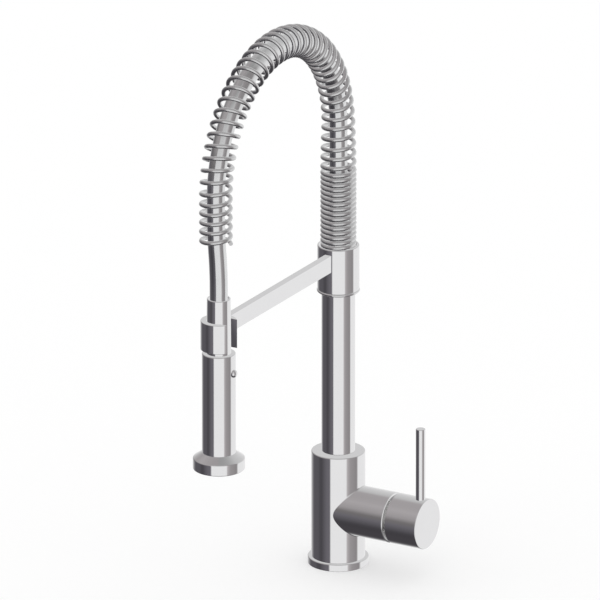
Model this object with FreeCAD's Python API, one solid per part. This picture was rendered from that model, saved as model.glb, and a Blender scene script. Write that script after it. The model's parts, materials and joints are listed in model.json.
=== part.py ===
import FreeCAD, Part
import math
import os

# A single lever kitchen faucet: a round mixer body on the worktop with its cartridge and lever on the right,
# a swivelling pillar, an arm with an open ring that holds the spray, and a hose that arches over inside a
# long spring. Millimetres. The origin is the middle of the base on the worktop, +Z is up, the spout reaches
# towards -Y and the lever is on the +X side.

V = FreeCAD.Vector
UP = V(0, 0, 1)
RIGHT = V(1, 0, 0)
BACK = V(0, 1, 0)

# Clearances
slip = 0.05                # radial running clearance of a shaft in its hole
seat = 0.3                 # gap between pieces that move past each other
edge = 0.8                 # chamfer or round on an outer edge
over = 1.0                 # how far a cutting tool runs past a face

# Base flange and deck gasket
flange_d = 51.0
flange_h = 6.0
gasket_d = 43.0
gasket_w = 3.0
gasket_h = 2.0

# Inlet block, a plug in the foot of the body that has the tapped holes over the hole in the worktop
block_d = 33.0
block_h = 20.0
inlet_d = 9.0              # tapping hole of an M10 x 1 hose
inlet_offset = 10.0
stud_d = 6.8               # tapping hole of an M8 stud
tapped_depth = 14.0

# Mixer body
body_d = 45.0
body_h = 93.0
seam_round = 0.9           # cast round along the line where branch and barrel meet
passage_d = 6.0
outlet_d = 9.0

# Side branch that holds the cartridge, and the handle cap that carries on its line
branch_d = 42.6
branch_reach = 53.4
branch_height = 48.8
groove = 2.9
cap_length = 29.0
cap_wall = 3.3
cap_front = 11.3
pivot_depth = 10.0
closed_tilt = 10.0         # lean of the cartridge's inner arm when the lever is upright and closed

# Ceramic cartridge, a stack along the branch
cartridge_d = 34.8
cartridge_wall = 1.8
cartridge_neck_d = 23.2
nut_depth = 8.1
nut_bore_d = 26.0
plate_t = 2.5
rotor_flange_t = 3.1
rotor_neck_d = 20.8
rotor_reach = 3.7
ear_length = 8.3
carrier_gap = 0.4
carrier_t = 4.5
moving_disc_t = 2.45
moving_disc_d = 20.0
mixing_recess_d = 12.0
fixed_disc_t = 3.5
fixed_disc_d = 30.4
foot_t = 4.2
port_circle = 8.0
port_d = 5.0
seal_d = 8.8
seal_bore_d = 5.4
seal_t = 1.8
stem_w = 4.4
stem_t = 4.0
eye_d = 8.0
blade_h = 6.4
ball_d = 4.4
ball_flat = -70.0          # latitude where the ball's tip is cut flat, in degrees
ball_neck_d = 3.1
ball_neck_length = 6.6
spindle_side = 8.0
spindle_length = 9.0
pivot_pin_d = 3.0

# Half ball behind the cap
dome_lip = 1.0
dome_wall = 2.0
dome_shelf = 5.8           # from the tilt pivot back to the shelf that rests on the cartridge's neck

# Lever pin and the screw that holds the handle
lever_d = 8.0
lever_show = 62.0
lever_setback = 6.5        # from the cap's front face to the lever's axis
lever_seat = 12.0
grub_d = 5.0
key_share = 0.6            # hexagon socket of a headless screw, corner to corner, as a share of the screw
tip_share = 0.6            # turned down tip of a headless screw, as a share of the screw

# Swivel joint of the pillar in the body
foot_d = 23.0
foot_depth = 29.0
foot_bore_d = 14.0
foot_rise = 28.0
foot_room = 2.0            # free depth under the foot
pillar_gap = 0.25          # shadow line between body and pillar
ring_groove_h = 2.4
ring_groove_depth = 1.9
upper_seal_depth = 7.2     # below the body's top, as the next two
stop_depth = 16.0
lower_seal_depth = 24.6
stop_screw_d = 6.0
stop_tip_d = 4.0
glide_ring_d = 27.2
glide_ring_h = 2.6

# Pillar, arm collar and arm
pillar_d = 28.0
pillar_wall = 1.5
pillar_show = 141.0
collar_wall = 3.5
bead_step = 0.5            # how far the bead stands out past the collar
bead_h = 2.3
collar_h = 38.7
tube_in_collar = 20.0
head_flange_t = 3.0
spring_recess_wall = 1.8
set_screw_d = 5.0
arm_drop = 4.5             # from the collar's top to the arm's top
arm_h = 15.0
arm_t = 6.0

# Open ring at the end of the arm, and the spray that hangs in it
reach = 198.0
dock_d = 30.3
dock_h = 25.0
dock_slot = 16.4
neck_show = 19.1
neck_top_d = 19.6
neck_foot_d = 20.4
neck_bore_d = 16.4
neck_thread_d = 19.0
neck_thread_h = 10.0
spray_gap = 3.5
spray_d = 28.0
spray_h = 87.0
bell_d = 43.2
bell_cone_h = 5.0
bell_rim_h = 9.3
bell_wall = 2.0
spray_spigot_d = 22.0
spray_spigot_h = 9.0
water_bore_d = 12.0
plate_recess = 1.5
nozzle_plate_t = 3.0
nozzle_d = 1.8
nozzle_tip_d = 1.4
nozzle_bore_d = 0.6
nozzle_show = 0.8
nozzle_rim = 2.8           # from the plate's rim to the middle of the outer ring of nozzles
nozzle_rings = (2, 3, 4)   # which rings of the six sided pattern have nozzles, counted from the middle
aerator_d = 13.0
aerator_hole_d = 1.6
aerator_rim = 2.1          # from the aerator's rim to the middle of its outer ring of holes
aerator_rings = (1, 2)     # which rings of the pattern have holes, counted from the middle
valve_d = 11.6
valve_wall = 2.5
valve_taper = 1.2
valve_taper_h = 2.0
valve_h = 14.0

# End of the hose in the spray's neck
cone_h = 16.0
cone_bore_d = 8.0
cone_taper = 1.5
cone_taper_h = 2.0
cone_seal_t = 1.5
hose_in_neck = 14.0

# Spray button, across the spray body
button_d = 6.8
button_drop = 16.0         # below the top of the spray body
button_proud = 3.0
button_dome_h = 2.6
button_h = 4.0
spool_d = 3.2
spool_end = 4.0
land_w = 2.8
button_bore_end = 10.0
button_wire_d = 0.5
button_coil_d = 4.8
half_turn_count = 8        # how many half turns the button's spring has

# Hose and spring
hose_d = 15.0
hose_bore_d = 10.0
hose_lead = 4.5            # how far the falling leg stands in front of the spray's axis
crown_z = 486.3            # top of the hose's middle line over the worktop
hose_tail = 20.4           # straight stretch at the hose's lower end
bend_drop = 50.0           # height of the gentle double bend above it
ferrule_wall = 1.4
ferrule_h = 18.0
wire_d = 3.45
spring_foot_d = 30.3
spring_d = 28.0
tight_pitch = 4.32
tight_top = 69.0           # height of the close wound stretch above the collar
spring_taper = 60.0        # stretch above it over which the spring narrows
open_pitch = 7.8
open_swell = 2.4           # how much wider the turns stand past the crown of the arch
swell_from = 0.1           # where the turns start to widen, as a share of the arch
swell_full = 0.5           # where they are widest, as a share of the arch
swell_run_out = 20.0       # below the arch, the stretch where they close up again
spring_leg_drop = 38.0     # where the spring ends on the falling leg, below the arch's centre
spring_end_turn = 225.0    # side where the wire's free end stands, in degrees round from the outer side

# Places that follow from the sizes
body_r = body_d / 2
branch_r = branch_d / 2
body_top = flange_h + body_h
cap_rear = branch_reach + groove
cap_face = cap_rear + cap_length
cap_bore_r = branch_r - cap_wall
cap_bottom = cap_face - cap_front
pivot_x = cap_rear + pivot_depth
recess_r = math.hypot(pivot_depth, branch_r) + seat
dome_r = cap_bore_r - 2 * seat
lever_x = cap_face - lever_setback
cartridge_r = cartridge_d / 2
chamber_r = cartridge_r - cartridge_wall
nut_x = branch_reach - nut_depth
plate_x = nut_x - plate_t
rotor_x = plate_x - seat - rotor_flange_t
carrier_x = rotor_x - carrier_gap - carrier_t
moving_disc_x = carrier_x - moving_disc_t
fixed_disc_x = moving_disc_x - slip - fixed_disc_t
foot_x = fixed_disc_x - foot_t
floor_x = foot_x - seat
stem_arm = pivot_x - carrier_x - ball_d / 2 - 2 * seat
ball_x = pivot_x - stem_arm * math.cos(math.radians(closed_tilt))
disc_shift = stem_arm * math.sin(math.radians(closed_tilt))
shelf_x = pivot_x - dome_shelf
socket_bottom = body_top - foot_depth - foot_room
pillar_base = body_top + pillar_gap
bead_z = body_top + pillar_show
collar_d = pillar_d + 2 * collar_wall
collar_z = bead_z + bead_h
collar_top = collar_z + collar_h
tube_top = collar_z + tube_in_collar
spring_seat_z = tube_top + head_flange_t
arm_top = collar_top - arm_drop
dock_z = arm_top - dock_h
spray_top = dock_z - spray_gap
spray_z = spray_top - spray_h
bell_z = spray_z - bell_cone_h - bell_rim_h
neck_top = arm_top + neck_show
button_z = spray_top - button_drop
arch_r = (reach + hose_lead) / 2
arch_z = crown_z - arch_r
hose_end_z = neck_top - hose_in_neck
cone_z = hose_end_z - cone_h
valve_top = cone_z - cone_seal_t - seat
plate_r = bell_d / 2 - bell_wall
nozzle_pitch = (plate_r - nozzle_rim) / nozzle_rings[-1]
aerator_pitch = (aerator_d / 2 - aerator_rim) / aerator_rings[-1]

branch_axis = V(0, 0, branch_height)
spray_axis = V(0, -reach, 0)


def turned(profile, base=V(0, 0, 0), axis=UP):
    """A lathe piece: a closed outline of (radius, height along the axis), turned about the axis. A point
    (radius, height, middle radius, middle height) is reached by an arc through its middle."""
    points = [V(p[0], 0, p[1]) for p in profile]
    edges = []
    for start, end, p in zip(points, points[1:] + points[:1], profile[1:] + profile[:1]):
        if len(p) == 4:
            edges.append(Part.Arc(start, V(p[2], 0, p[3]), end).toShape())
        else:
            edges.append(Part.LineSegment(start, end).toShape())
    solid = Part.Face(Part.Wire(edges)).revolve(V(0, 0, 0), UP, 360)
    solid.Placement = FreeCAD.Placement(base, FreeCAD.Rotation(UP, axis))
    return solid


def rod(diameter, start, direction, length):
    """A round bar, or the tool for a drilled hole, from a point along a direction."""
    return Part.makeCylinder(diameter / 2, length, start, direction)


def tube(outer_d, inner_d, z0, z1, base=V(0, 0, 0), axis=UP):
    """A plain ring or tube between two heights on an axis."""
    return turned([(inner_d / 2, z0), (outer_d / 2, z0), (outer_d / 2, z1), (inner_d / 2, z1)], base, axis)


def rims(solid, centre, radius):
    """The round edges of a solid that have this centre and radius."""
    found = []
    for e in solid.Edges:
        if isinstance(e.Curve, Part.Circle) and abs(e.Curve.Radius - radius) < 1e-3:
            if (e.Curve.Center - centre).Length < 1e-3:
                found.append(e)
    return found


def ring_points(pitch, rings, base):
    """Points on rings about a vertical axis: a ring has six points more than the one inside it."""
    points = []
    for ring in rings:
        count = round(6 * ring)
        for k in range(count):
            turn = 2 * math.pi * k / count
            points.append(base + V(math.cos(turn), math.sin(turn), 0) * (ring * pitch))
    return points


def grub_screw(diameter, head, direction, length, tip_d):
    """A headless screw with a hexagon socket, from its head along a direction, and a turned down tip."""
    shank = rod(diameter, head, direction, length)
    depth = min(diameter / 2, length / 3)
    tip_from = head + direction * (length - depth)
    collar = tube(diameter + over, tip_d, 0, depth + over, tip_from, direction)
    corner = key_share * diameter / 2
    turns = [k * math.pi / 3 for k in range(7)]
    key = Part.makePolygon([V(math.cos(turn), math.sin(turn), 0) * corner for turn in turns])
    socket = Part.Face(key).extrude(V(0, 0, depth))
    socket.Placement = FreeCAD.Placement(head, FreeCAD.Rotation(UP, direction))
    return shank.cut([collar, socket])


def base_flange():
    bore = block_d / 2 + slip
    ring = turned([(bore, 0), (flange_d / 2, 0), (flange_d / 2, flange_h - edge),
                   (flange_d / 2 - edge, flange_h), (bore, flange_h)])
    return ring.cut(base_gasket())


def base_gasket():
    return tube(gasket_d + gasket_w, gasket_d - gasket_w, 0, gasket_h)


def risers():
    """The drillings that lead the hot and the cold water up to the cartridge."""
    starts = [V(0, side * port_circle, tapped_depth - over) for side in (-1, 1)]
    return [rod(passage_d, start, UP, branch_height - start.z) for start in starts]


def inlet_block():
    """Brass plug pressed into the body's foot, tapped for the two supply hoses and the fixing stud."""
    plug = rod(block_d, V(0, 0, 0), UP, block_h)
    inlets = [rod(inlet_d, V(0, side * inlet_offset, 0), UP, tapped_depth) for side in (-1, 1)]
    stud = rod(stud_d, V(0, 0, 0), UP, tapped_depth)
    return plug.cut(inlets + risers() + [stud])


def mixer_body():
    """One brass casting: the upright barrel and the side branch, with its waterways drilled."""
    barrel = rod(body_d, V(0, 0, flange_h), UP, body_h)
    barrel = barrel.makeFillet(edge, rims(barrel, V(0, 0, body_top), body_r))
    branch = rod(branch_d, branch_axis, RIGHT, branch_reach)
    solid = barrel.fuse(branch).removeSplitter()
    solid = solid.makeFillet(seam_round, [e for e in solid.Edges if isinstance(e.Curve, Part.BSplineCurve)])

    plug = rod(block_d + 2 * slip, V(0, 0, 0), UP, block_h)
    chamber = rod(cartridge_d + 2 * slip, V(floor_x, 0, branch_height), RIGHT, branch_reach)
    recess = Part.makeSphere(recess_r, V(pivot_x, 0, branch_height))
    socket = rod(foot_d + 2 * slip, V(0, 0, socket_bottom), UP, body_h)
    glide = rod(glide_ring_d, V(0, 0, body_top - glide_ring_h), UP, body_h)
    stop = rod(stop_screw_d + 2 * slip, V(0, 0, stop_height()), BACK, body_d)
    cuts = [plug, chamber, recess, socket, glide, stop] + risers()
    cuts += [rod(passage_d, V(0, p.y, p.z), RIGHT, floor_x + over) for p in port_points(floor_x)]
    outlet = V(0, 0, branch_height + port_circle)
    cuts.append(rod(outlet_d, outlet, UP, socket_bottom + over - outlet.z))
    return solid.cut(cuts)


def port_points(x):
    """The cartridge's two inlets and its outlet, on a circle about the branch axis."""
    return [V(x, -port_circle, branch_height), V(x, port_circle, branch_height),
            V(x, 0, branch_height + port_circle)]


def port_seals():
    return Part.makeCompound([tube(seal_d, seal_bore_d, 0, seal_t, p, RIGHT) for p in port_points(floor_x)])


def cartridge_foot():
    disc = tube(2 * cartridge_r, 0, foot_x, fixed_disc_x, branch_axis, RIGHT)
    ports = [rod(port_d, p, RIGHT, foot_t + 2 * over) for p in port_points(foot_x - over)]
    seats = [rod(seal_d + 2 * slip, p, RIGHT, seal_t) for p in port_points(floor_x)]
    return disc.cut(ports + seats)


def fixed_disc():
    disc = tube(fixed_disc_d, 0, fixed_disc_x, fixed_disc_x + fixed_disc_t, branch_axis, RIGHT)
    ports = port_points(fixed_disc_x - over)
    return disc.cut([rod(port_d, p, RIGHT, fixed_disc_t + 2 * over) for p in ports])


def disc_axis():
    """Line of the moving disc while the tap is shut: it stands off the branch axis by half its slide."""
    return V(0, 0, branch_height - disc_shift)


def moving_disc():
    disc = tube(moving_disc_d, 0, moving_disc_x, carrier_x, disc_axis(), RIGHT)
    mixing = rod(mixing_recess_d, disc_axis() + RIGHT * moving_disc_x, RIGHT, moving_disc_t / 2)
    return disc.cut(mixing)


def disc_carrier():
    block = tube(moving_disc_d, 0, carrier_x, carrier_x + carrier_t, disc_axis(), RIGHT)
    pocket_d = ball_d + 2 * seat
    return block.cut(rod(pocket_d, disc_axis() + RIGHT * (carrier_x + seat), RIGHT, carrier_t))


def cartridge_housing():
    """The cartridge's outer case: a sleeve over the discs, closed by a plate with a neck for the rotor."""
    bore = rotor_neck_d / 2 + slip
    return turned([(chamber_r, fixed_disc_x), (cartridge_r, fixed_disc_x), (cartridge_r, nut_x),
                   (cartridge_neck_d / 2, nut_x), (cartridge_neck_d / 2, shelf_x), (bore, shelf_x),
                   (bore, plate_x), (chamber_r, plate_x)], branch_axis, RIGHT)


def on_sphere(radius, from_axis):
    """Where a sphere about the tilt pivot, on its inner side, has this distance from the branch axis."""
    return pivot_x - math.sqrt(radius ** 2 - from_axis ** 2)


def cartridge_nut():
    """Screwed ring that holds the cartridge, hollowed like a bowl so that the cap's rim can dip into it."""
    outer = cartridge_r
    inner = nut_bore_d / 2
    middle = (outer + inner) / 2
    return turned([(inner, nut_x), (outer, nut_x), (outer, on_sphere(recess_r, outer)),
                   (inner, on_sphere(recess_r, inner), middle, on_sphere(recess_r, middle))],
                  branch_axis, RIGHT)


def trim_dome():
    """Polished half ball that closes the view into the handle behind the tilting cap."""
    bore = cartridge_neck_d / 2 + slip
    lip = bore + dome_lip
    start = on_sphere(dome_r, lip)
    middle = (lip + dome_r) / 2
    hollow = dome_r - dome_wall
    return turned([(bore, start), (lip, start), (dome_r, pivot_x, middle, on_sphere(dome_r, middle)),
                   (hollow, pivot_x), (hollow, shelf_x), (bore, shelf_x)], branch_axis, RIGHT)


def cartridge_rotor():
    """Turning guide of the cartridge: a flange under the case's plate and a neck that ends in two ears."""
    end = pivot_x + rotor_reach
    neck = rotor_neck_d / 2
    solid = turned([(0, rotor_x), (chamber_r - seat, rotor_x), (chamber_r - seat, rotor_x + rotor_flange_t),
                    (neck, rotor_x + rotor_flange_t), (neck, end), (0, end)], branch_axis, RIGHT)
    width = stem_w + 2 * seat
    inner = 2 * (disc_shift + stem_t / 2 + seat)
    ears_from = pivot_x - ear_length
    slot = Part.makeBox(end, width, inner, V(rotor_x - over, -width / 2, branch_height - inner / 2))
    fork = Part.makeBox(end, width, 4 * neck, V(ears_from, -width / 2, branch_height - 2 * neck))
    pin = rod(pivot_pin_d, V(pivot_x, -neck - over, branch_height), BACK, 2 * (neck + over))
    return solid.cut([slot, fork, pin])


def stem_pivot_pin():
    half = rotor_neck_d / 2 - seat
    return rod(pivot_pin_d, V(pivot_x, -half, branch_height), BACK, 2 * half)


def cartridge_stem():
    """Lever inside the cartridge: a ball that drags the disc, an eye on the pivot pin, a square spindle."""
    pivot = V(pivot_x, 0, branch_height)
    eye = rod(eye_d, pivot - BACK * (stem_w / 2), BACK, stem_w)
    shaft = stem_arm - ball_neck_length + over
    arm = Part.makeBox(shaft, stem_w, stem_t, V(-shaft, -stem_w / 2, -stem_t / 2))
    arm.Placement = FreeCAD.Placement(pivot, FreeCAD.Rotation(BACK, -closed_tilt))
    ball_centre = V(ball_x, 0, branch_height - disc_shift)
    ball = Part.makeSphere(ball_d / 2, ball_centre, pivot - ball_centre, ball_flat, 90)
    ball_neck = rod(ball_neck_d, ball_centre, pivot - ball_centre, ball_neck_length)
    spindle_end = cap_bottom + spindle_length - seat
    spindle_from = cap_bottom - over
    blade = Part.makeBox(spindle_from - pivot_x, stem_w, blade_h,
                         V(pivot_x, -stem_w / 2, branch_height - blade_h / 2))
    half = spindle_side / 2
    spindle = Part.makeBox(spindle_end - spindle_from, spindle_side, spindle_side,
                           V(spindle_from, -half, branch_height - half))
    solid = eye.fuse([arm, ball.fuse(ball_neck), blade, spindle])
    return solid.cut(rod(pivot_pin_d + 2 * slip, pivot - BACK * stem_w, BACK, 2 * stem_w))


def handle_cap():
    """Turned cap in line with the branch: a thin skirt round the half ball and a solid front."""
    solid = turned([(0, cap_bottom), (cap_bore_r, cap_bottom), (cap_bore_r, cap_rear), (branch_r, cap_rear),
                    (branch_r, cap_face), (0, cap_face)], branch_axis, RIGHT)
    solid = solid.makeFillet(edge / 2, rims(solid, V(cap_face, 0, branch_height), branch_r))
    half = spindle_side / 2 + slip
    square = Part.makeBox(spindle_length + over, 2 * half, 2 * half,
                          V(cap_bottom - over, -half, branch_height - half))
    lever = rod(lever_d + 2 * slip, V(lever_x, 0, lever_foot()), UP, branch_d)
    grub = rod(grub_d + 2 * slip, branch_axis + RIGHT * lever_x, UP * -1, branch_d)
    return solid.cut([square, lever, grub])


def lever_foot():
    return branch_height + branch_r - lever_seat


def lever_pin():
    top = branch_height + branch_r + lever_show
    r = lever_d / 2
    chamfer = edge / 2
    return turned([(0, lever_foot()), (r, lever_foot()), (r, top - chamfer), (r - chamfer, top), (0, top)],
                  V(lever_x, 0, 0))


def handle_grub_screw():
    head = V(lever_x, 0, branch_height - branch_r + edge)
    length = branch_r - spindle_side / 2 - seat - edge
    return grub_screw(grub_d, head, UP, length, tip_share * grub_d)


def stop_height():
    return body_top - stop_depth


def swivel_stop_screw():
    """Screw in the back of the body whose tip runs in the pillar foot's groove and keeps it from lifting."""
    head = V(0, body_r - edge, stop_height())
    tip = foot_d / 2 - ring_groove_depth + seat
    return grub_screw(stop_screw_d, head, BACK * -1, head.y - tip, stop_tip_d)


def swivel_glide_ring():
    return tube(glide_ring_d, foot_d + 2 * seat, body_top - glide_ring_h, pillar_base - slip)


def seal_heights():
    return [body_top - lower_seal_depth, body_top - upper_seal_depth]


def pillar_foot():
    """Brass spigot that turns in the body, with two seal grooves and a groove for the stop screw."""
    r = foot_d / 2
    upper = pillar_d / 2 - pillar_wall - slip
    bore = foot_bore_d / 2
    solid = turned([(bore, body_top - foot_depth), (r, body_top - foot_depth), (r, pillar_base),
                    (upper, pillar_base), (upper, pillar_base + foot_rise), (bore, pillar_base + foot_rise)])
    floor_d = foot_d - 2 * ring_groove_depth
    rim_d = foot_d + 2 * over
    grooves = [tube(rim_d, floor_d, h - ring_groove_h / 2, h + ring_groove_h / 2) for h in seal_heights()]
    stop_h = stop_tip_d / 2 + seat
    grooves.append(tube(rim_d, floor_d, stop_height() - stop_h, stop_height() + stop_h))
    return solid.cut(grooves)


def foot_seals():
    thick = ring_groove_depth / 2
    return Part.makeCompound([Part.makeTorus(foot_d / 2 - thick, thick, V(0, 0, h)) for h in seal_heights()])


def pillar_tube():
    return tube(pillar_d, pillar_d - 2 * pillar_wall, pillar_base, tube_top)


def pillar_head():
    """Brass plug in the pillar's top: it closes the tube, carries the hose and gives the spring its seat."""
    plug = pillar_d / 2 - pillar_wall - slip
    return turned([(hose_bore_d / 2, tube_top - tube_in_collar), (plug, tube_top - tube_in_collar),
                   (plug, tube_top), (pillar_d / 2, tube_top), (pillar_d / 2, spring_seat_z),
                   (hose_bore_d / 2, spring_seat_z)])


def arm_collar():
    """Sleeve on the pillar's head. Its upper part is a cup that takes the foot of the spring."""
    bore = pillar_d / 2 + slip
    cup = collar_d / 2 - spring_recess_wall
    r = collar_d / 2
    solid = turned([(bore, collar_z), (r, collar_z), (r, collar_top - edge), (r - edge, collar_top),
                    (cup, collar_top), (cup, spring_seat_z), (bore, spring_seat_z)])
    return solid.cut(rod(set_screw_d + 2 * slip, V(0, 0, set_screw_height()), BACK, collar_d))


def set_screw_height():
    return collar_z + tube_in_collar / 2


def collar_set_screw():
    head = V(0, collar_d / 2 - edge, set_screw_height())
    tip = pillar_d / 2 + slip
    return grub_screw(set_screw_d, head, BACK * -1, head.y - tip, tip_share * set_screw_d)


def collar_ring():
    """Thin bead under the collar, with a half round rim."""
    bore = pillar_d / 2 + slip
    rim = collar_d / 2 + bead_step
    flat = rim - bead_h / 2
    middle = bead_z + bead_h / 2
    return turned([(bore, bead_z), (flat, bead_z), (flat, collar_z, rim, middle), (bore, collar_z)])


def arm():
    """Flat bar from the collar to the ring, hollowed at both ends to fit them."""
    bar = Part.makeBox(arm_t, reach, arm_h, V(-arm_t / 2, -reach, arm_top - arm_h))
    collar = rod(collar_d, V(0, 0, collar_z), UP, collar_h)
    dock = rod(dock_d, spray_axis + UP * (dock_z - over), UP, dock_h + 2 * over)
    return bar.cut([collar, dock])


def neck_radius(z):
    """Radius of the spray's tapered neck at a height."""
    share = (z - spray_top) / (neck_top - spray_top)
    return (neck_foot_d + share * (neck_top_d - neck_foot_d)) / 2


def dock_ring():
    """Ring with a matching taper for the spray's neck, and a side slot that lets the hose in."""
    r = dock_d / 2
    chamfer = edge / 2
    ring = turned([(neck_radius(dock_z) + seat, dock_z), (r - chamfer, dock_z), (r, dock_z + chamfer),
                   (r, arm_top - chamfer), (r - chamfer, arm_top), (neck_radius(arm_top) + seat, arm_top)],
                  spray_axis)
    slot_from = spray_axis + V(0, -dock_slot / 2, dock_z - over)
    return ring.cut(Part.makeBox(dock_d, dock_slot, dock_h + 2 * over, slot_from))


def hose_route():
    """Up from the pillar's head, over the arch, down, and by two opposite arcs in line with the spray."""
    legs = -2 * arch_r
    bend_z = hose_end_z + hose_tail
    leg_z = bend_z + bend_drop
    bend_r = (bend_drop ** 2 + hose_lead ** 2) / (4 * hose_lead)
    lean = math.asin(bend_drop / 2 / bend_r)
    sag_y = bend_r * (1 - math.cos(lean / 2))
    sag_z = bend_r * math.sin(lean / 2)
    start, rise = V(0, 0, spring_seat_z), V(0, 0, arch_z)
    crown, fall = V(0, -arch_r, arch_z + arch_r), V(0, legs, arch_z)
    bend, middle = V(0, legs, leg_z), V(0, legs + hose_lead / 2, leg_z - bend_drop / 2)
    foot, end = V(0, -reach, bend_z), V(0, -reach, hose_end_z)
    return Part.Wire([Part.LineSegment(start, rise).toShape(),
                      Part.Arc(rise, crown, fall).toShape(),
                      Part.LineSegment(fall, bend).toShape(),
                      Part.Arc(bend, bend + V(0, sag_y, -sag_z), middle).toShape(),
                      Part.Arc(middle, foot + V(0, -sag_y, sag_z), foot).toShape(),
                      Part.LineSegment(foot, end).toShape()])


def swept(route, diameter):
    """A round bar along a route."""
    start = route.Edges[0]
    direction = start.tangentAt(start.FirstParameter)
    circle = Part.Circle(start.valueAt(start.FirstParameter), direction, diameter / 2).toShape()
    return route.makePipeShell([Part.Wire([circle])], True, False)


def hose():
    route = hose_route()
    solid = swept(route, hose_d).cut(swept(route, hose_bore_d))
    section = math.pi * (hose_d ** 2 - hose_bore_d ** 2) / 4
    print("hose volume over section times length:", round(solid.Volume / (section * route.Length), 5))
    return solid


def hose_ferrule():
    """Crimped sleeve on the hose where it leaves the pillar's head."""
    return tube(hose_d + 2 * ferrule_wall, hose_d + 2 * slip, spring_seat_z, spring_seat_z + ferrule_h)


def spring_length():
    """Length of the hose's line from the spring's seat to the spring's free end."""
    return arch_z - spring_seat_z + math.pi * arch_r + spring_leg_drop


def spring_line(s):
    """Point on the hose's line at a length s from the spring's seat, and the outward direction there."""
    rise = arch_z - spring_seat_z
    if s < rise:
        return V(0, 0, spring_seat_z + s), V(0, 1, 0)
    turn = (s - rise) / arch_r
    if turn < math.pi:
        out = V(0, math.cos(turn), math.sin(turn))
        return V(0, -arch_r, arch_z) + out * arch_r, out
    return V(0, -2 * arch_r, arch_z - (s - rise - math.pi * arch_r)), V(0, -1, 0)


def eased(s, start, end):
    """0 before a start and 1 after an end, with a smooth rise between them."""
    share = min(max((s - start) / (end - start), 0), 1)
    return share ** 2 * (3 - 2 * share)


def spring_pitch(s):
    """Distance between turns: close wound at the foot, then open, and widest past the crown."""
    if s < collar_top + tight_top - spring_seat_z:
        return tight_pitch
    rise = arch_z - spring_seat_z
    arch = math.pi * arch_r
    wide = eased(s, rise + swell_from * arch, rise + swell_full * arch)
    wide -= eased(s, rise + arch, rise + arch + swell_run_out)
    return open_pitch + open_swell * wide


def spring_radius(s):
    """Radius of the wire's centre line, which narrows above the close wound stretch."""
    tight_end = collar_top + tight_top - spring_seat_z
    share = eased(s, tight_end, tight_end + spring_taper)
    return (spring_foot_d + share * (spring_d - spring_foot_d) - wire_d) / 2


def spring_point(s, turn):
    centre, out = spring_line(s)
    return centre + (out * math.cos(turn) - RIGHT * math.sin(turn)) * spring_radius(s)


def arc_edge(start, tangent, end):
    """The circular arc that leaves start along a tangent and ends at end."""
    chord = end - start
    along = chord / chord.Length
    side = tangent - along * tangent.dot(along)
    half = tangent.getAngle(chord) / 2
    middle = start + chord / 2 + side / side.Length * (chord.Length / 2 * math.tan(half))
    return Part.Arc(start, middle, end).toShape()


def biarc(start, start_dir, end, end_dir):
    """Two arcs that meet on one tangent, between two points with given directions."""
    gap = end - start
    both = gap.dot(start_dir + end_dir)
    open_share = 2 * (1 - start_dir.dot(end_dir))
    d = (math.sqrt(both ** 2 + open_share * gap.dot(gap)) - both) / open_share
    middle = (start + end + (start_dir - end_dir) * d) / 2
    join_dir = (end - end_dir * d) - (start + start_dir * d)
    return [arc_edge(start, start_dir, middle), arc_edge(middle, join_dir / join_dir.Length, end)]


def wound(nodes):
    """The line of a wound wire: arcs through points, each with its direction."""
    edges = []
    for (p, p_dir), (q, q_dir) in zip(nodes, nodes[1:]):
        edges += biarc(p, p_dir, q, q_dir)
    return edges


def spring_stations():
    """Lengths along the hose's line at every half turn of the spring, and the turn angle there."""
    lengths = [wire_d / 2 + slip]
    while lengths[-1] < spring_length():
        lengths.append(lengths[-1] + spring_pitch(lengths[-1]) / 2)
    start = math.radians(spring_end_turn) - math.pi * (len(lengths) - 1)
    return [(s, start + math.pi * k) for k, s in enumerate(lengths)]


def spring():
    """One unbroken wire wound round the hose's line."""
    stations = spring_stations()
    nodes = []
    for s, turn in stations:
        step = 1e-3
        ds = spring_pitch(s) * step / (2 * math.pi)
        tangent = spring_point(s + ds, turn + step) - spring_point(s - ds, turn - step)
        nodes.append((spring_point(s, turn), tangent / tangent.Length))
    edges = wound(nodes)
    print("spring turns:", len(stations) / 2, "least gap to itself:", round(spring_gap(edges), 2))
    return swept(Part.Wire(edges), wire_d)


def spring_gap(edges):
    """Least distance between the wire and its next turns, measured on points along its line."""
    per_arc = 6
    line = [p for e in edges for p in e.discretize(per_arc)[:-1]]
    turn = 4 * (per_arc - 1)
    least = spring_length()
    for i, p in enumerate(line):
        for q in line[i + turn // 2: i + 2 * turn]:
            least = min(least, (p - q).Length)
    return least - wire_d


def hose_cone():
    """End fitting of the hose, on which the spray turns: a collar and a tapered tail with its own bore."""
    r = neck_bore_d / 2 - slip
    bore = cone_bore_d / 2
    return turned([(bore, cone_z), (r - cone_taper, cone_z), (r, cone_z + cone_taper_h), (r, hose_end_z),
                   (bore, hose_end_z)], spray_axis)


def cone_seal():
    return tube(neck_bore_d - 2 * (slip + cone_taper), hose_bore_d, cone_z - cone_seal_t, cone_z, spray_axis)


def spray_neck():
    """Tapered sleeve that docks in the ring, screwed into the spray body, with the hose's swivel inside."""
    thread = neck_thread_d / 2
    z0 = spray_top - neck_thread_h
    bore = neck_bore_d / 2
    floor = valve_top
    valve = valve_d / 2 + slip
    chamfer = edge / 2
    return turned([(valve, z0), (thread, z0), (thread, spray_top), (neck_foot_d / 2, spray_top),
                   (neck_top_d / 2, neck_top - chamfer), (neck_top_d / 2 - chamfer, neck_top),
                   (bore, neck_top), (bore, floor), (valve, floor)], spray_axis)


def check_valve():
    """Small one way valve in the neck's lower bore."""
    r = valve_d / 2
    bore = r - valve_wall
    z0 = valve_top - valve_h
    return turned([(bore, z0), (r - valve_taper, z0), (r, z0 + valve_taper_h), (r, valve_top),
                   (bore, valve_top)], spray_axis)


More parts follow.
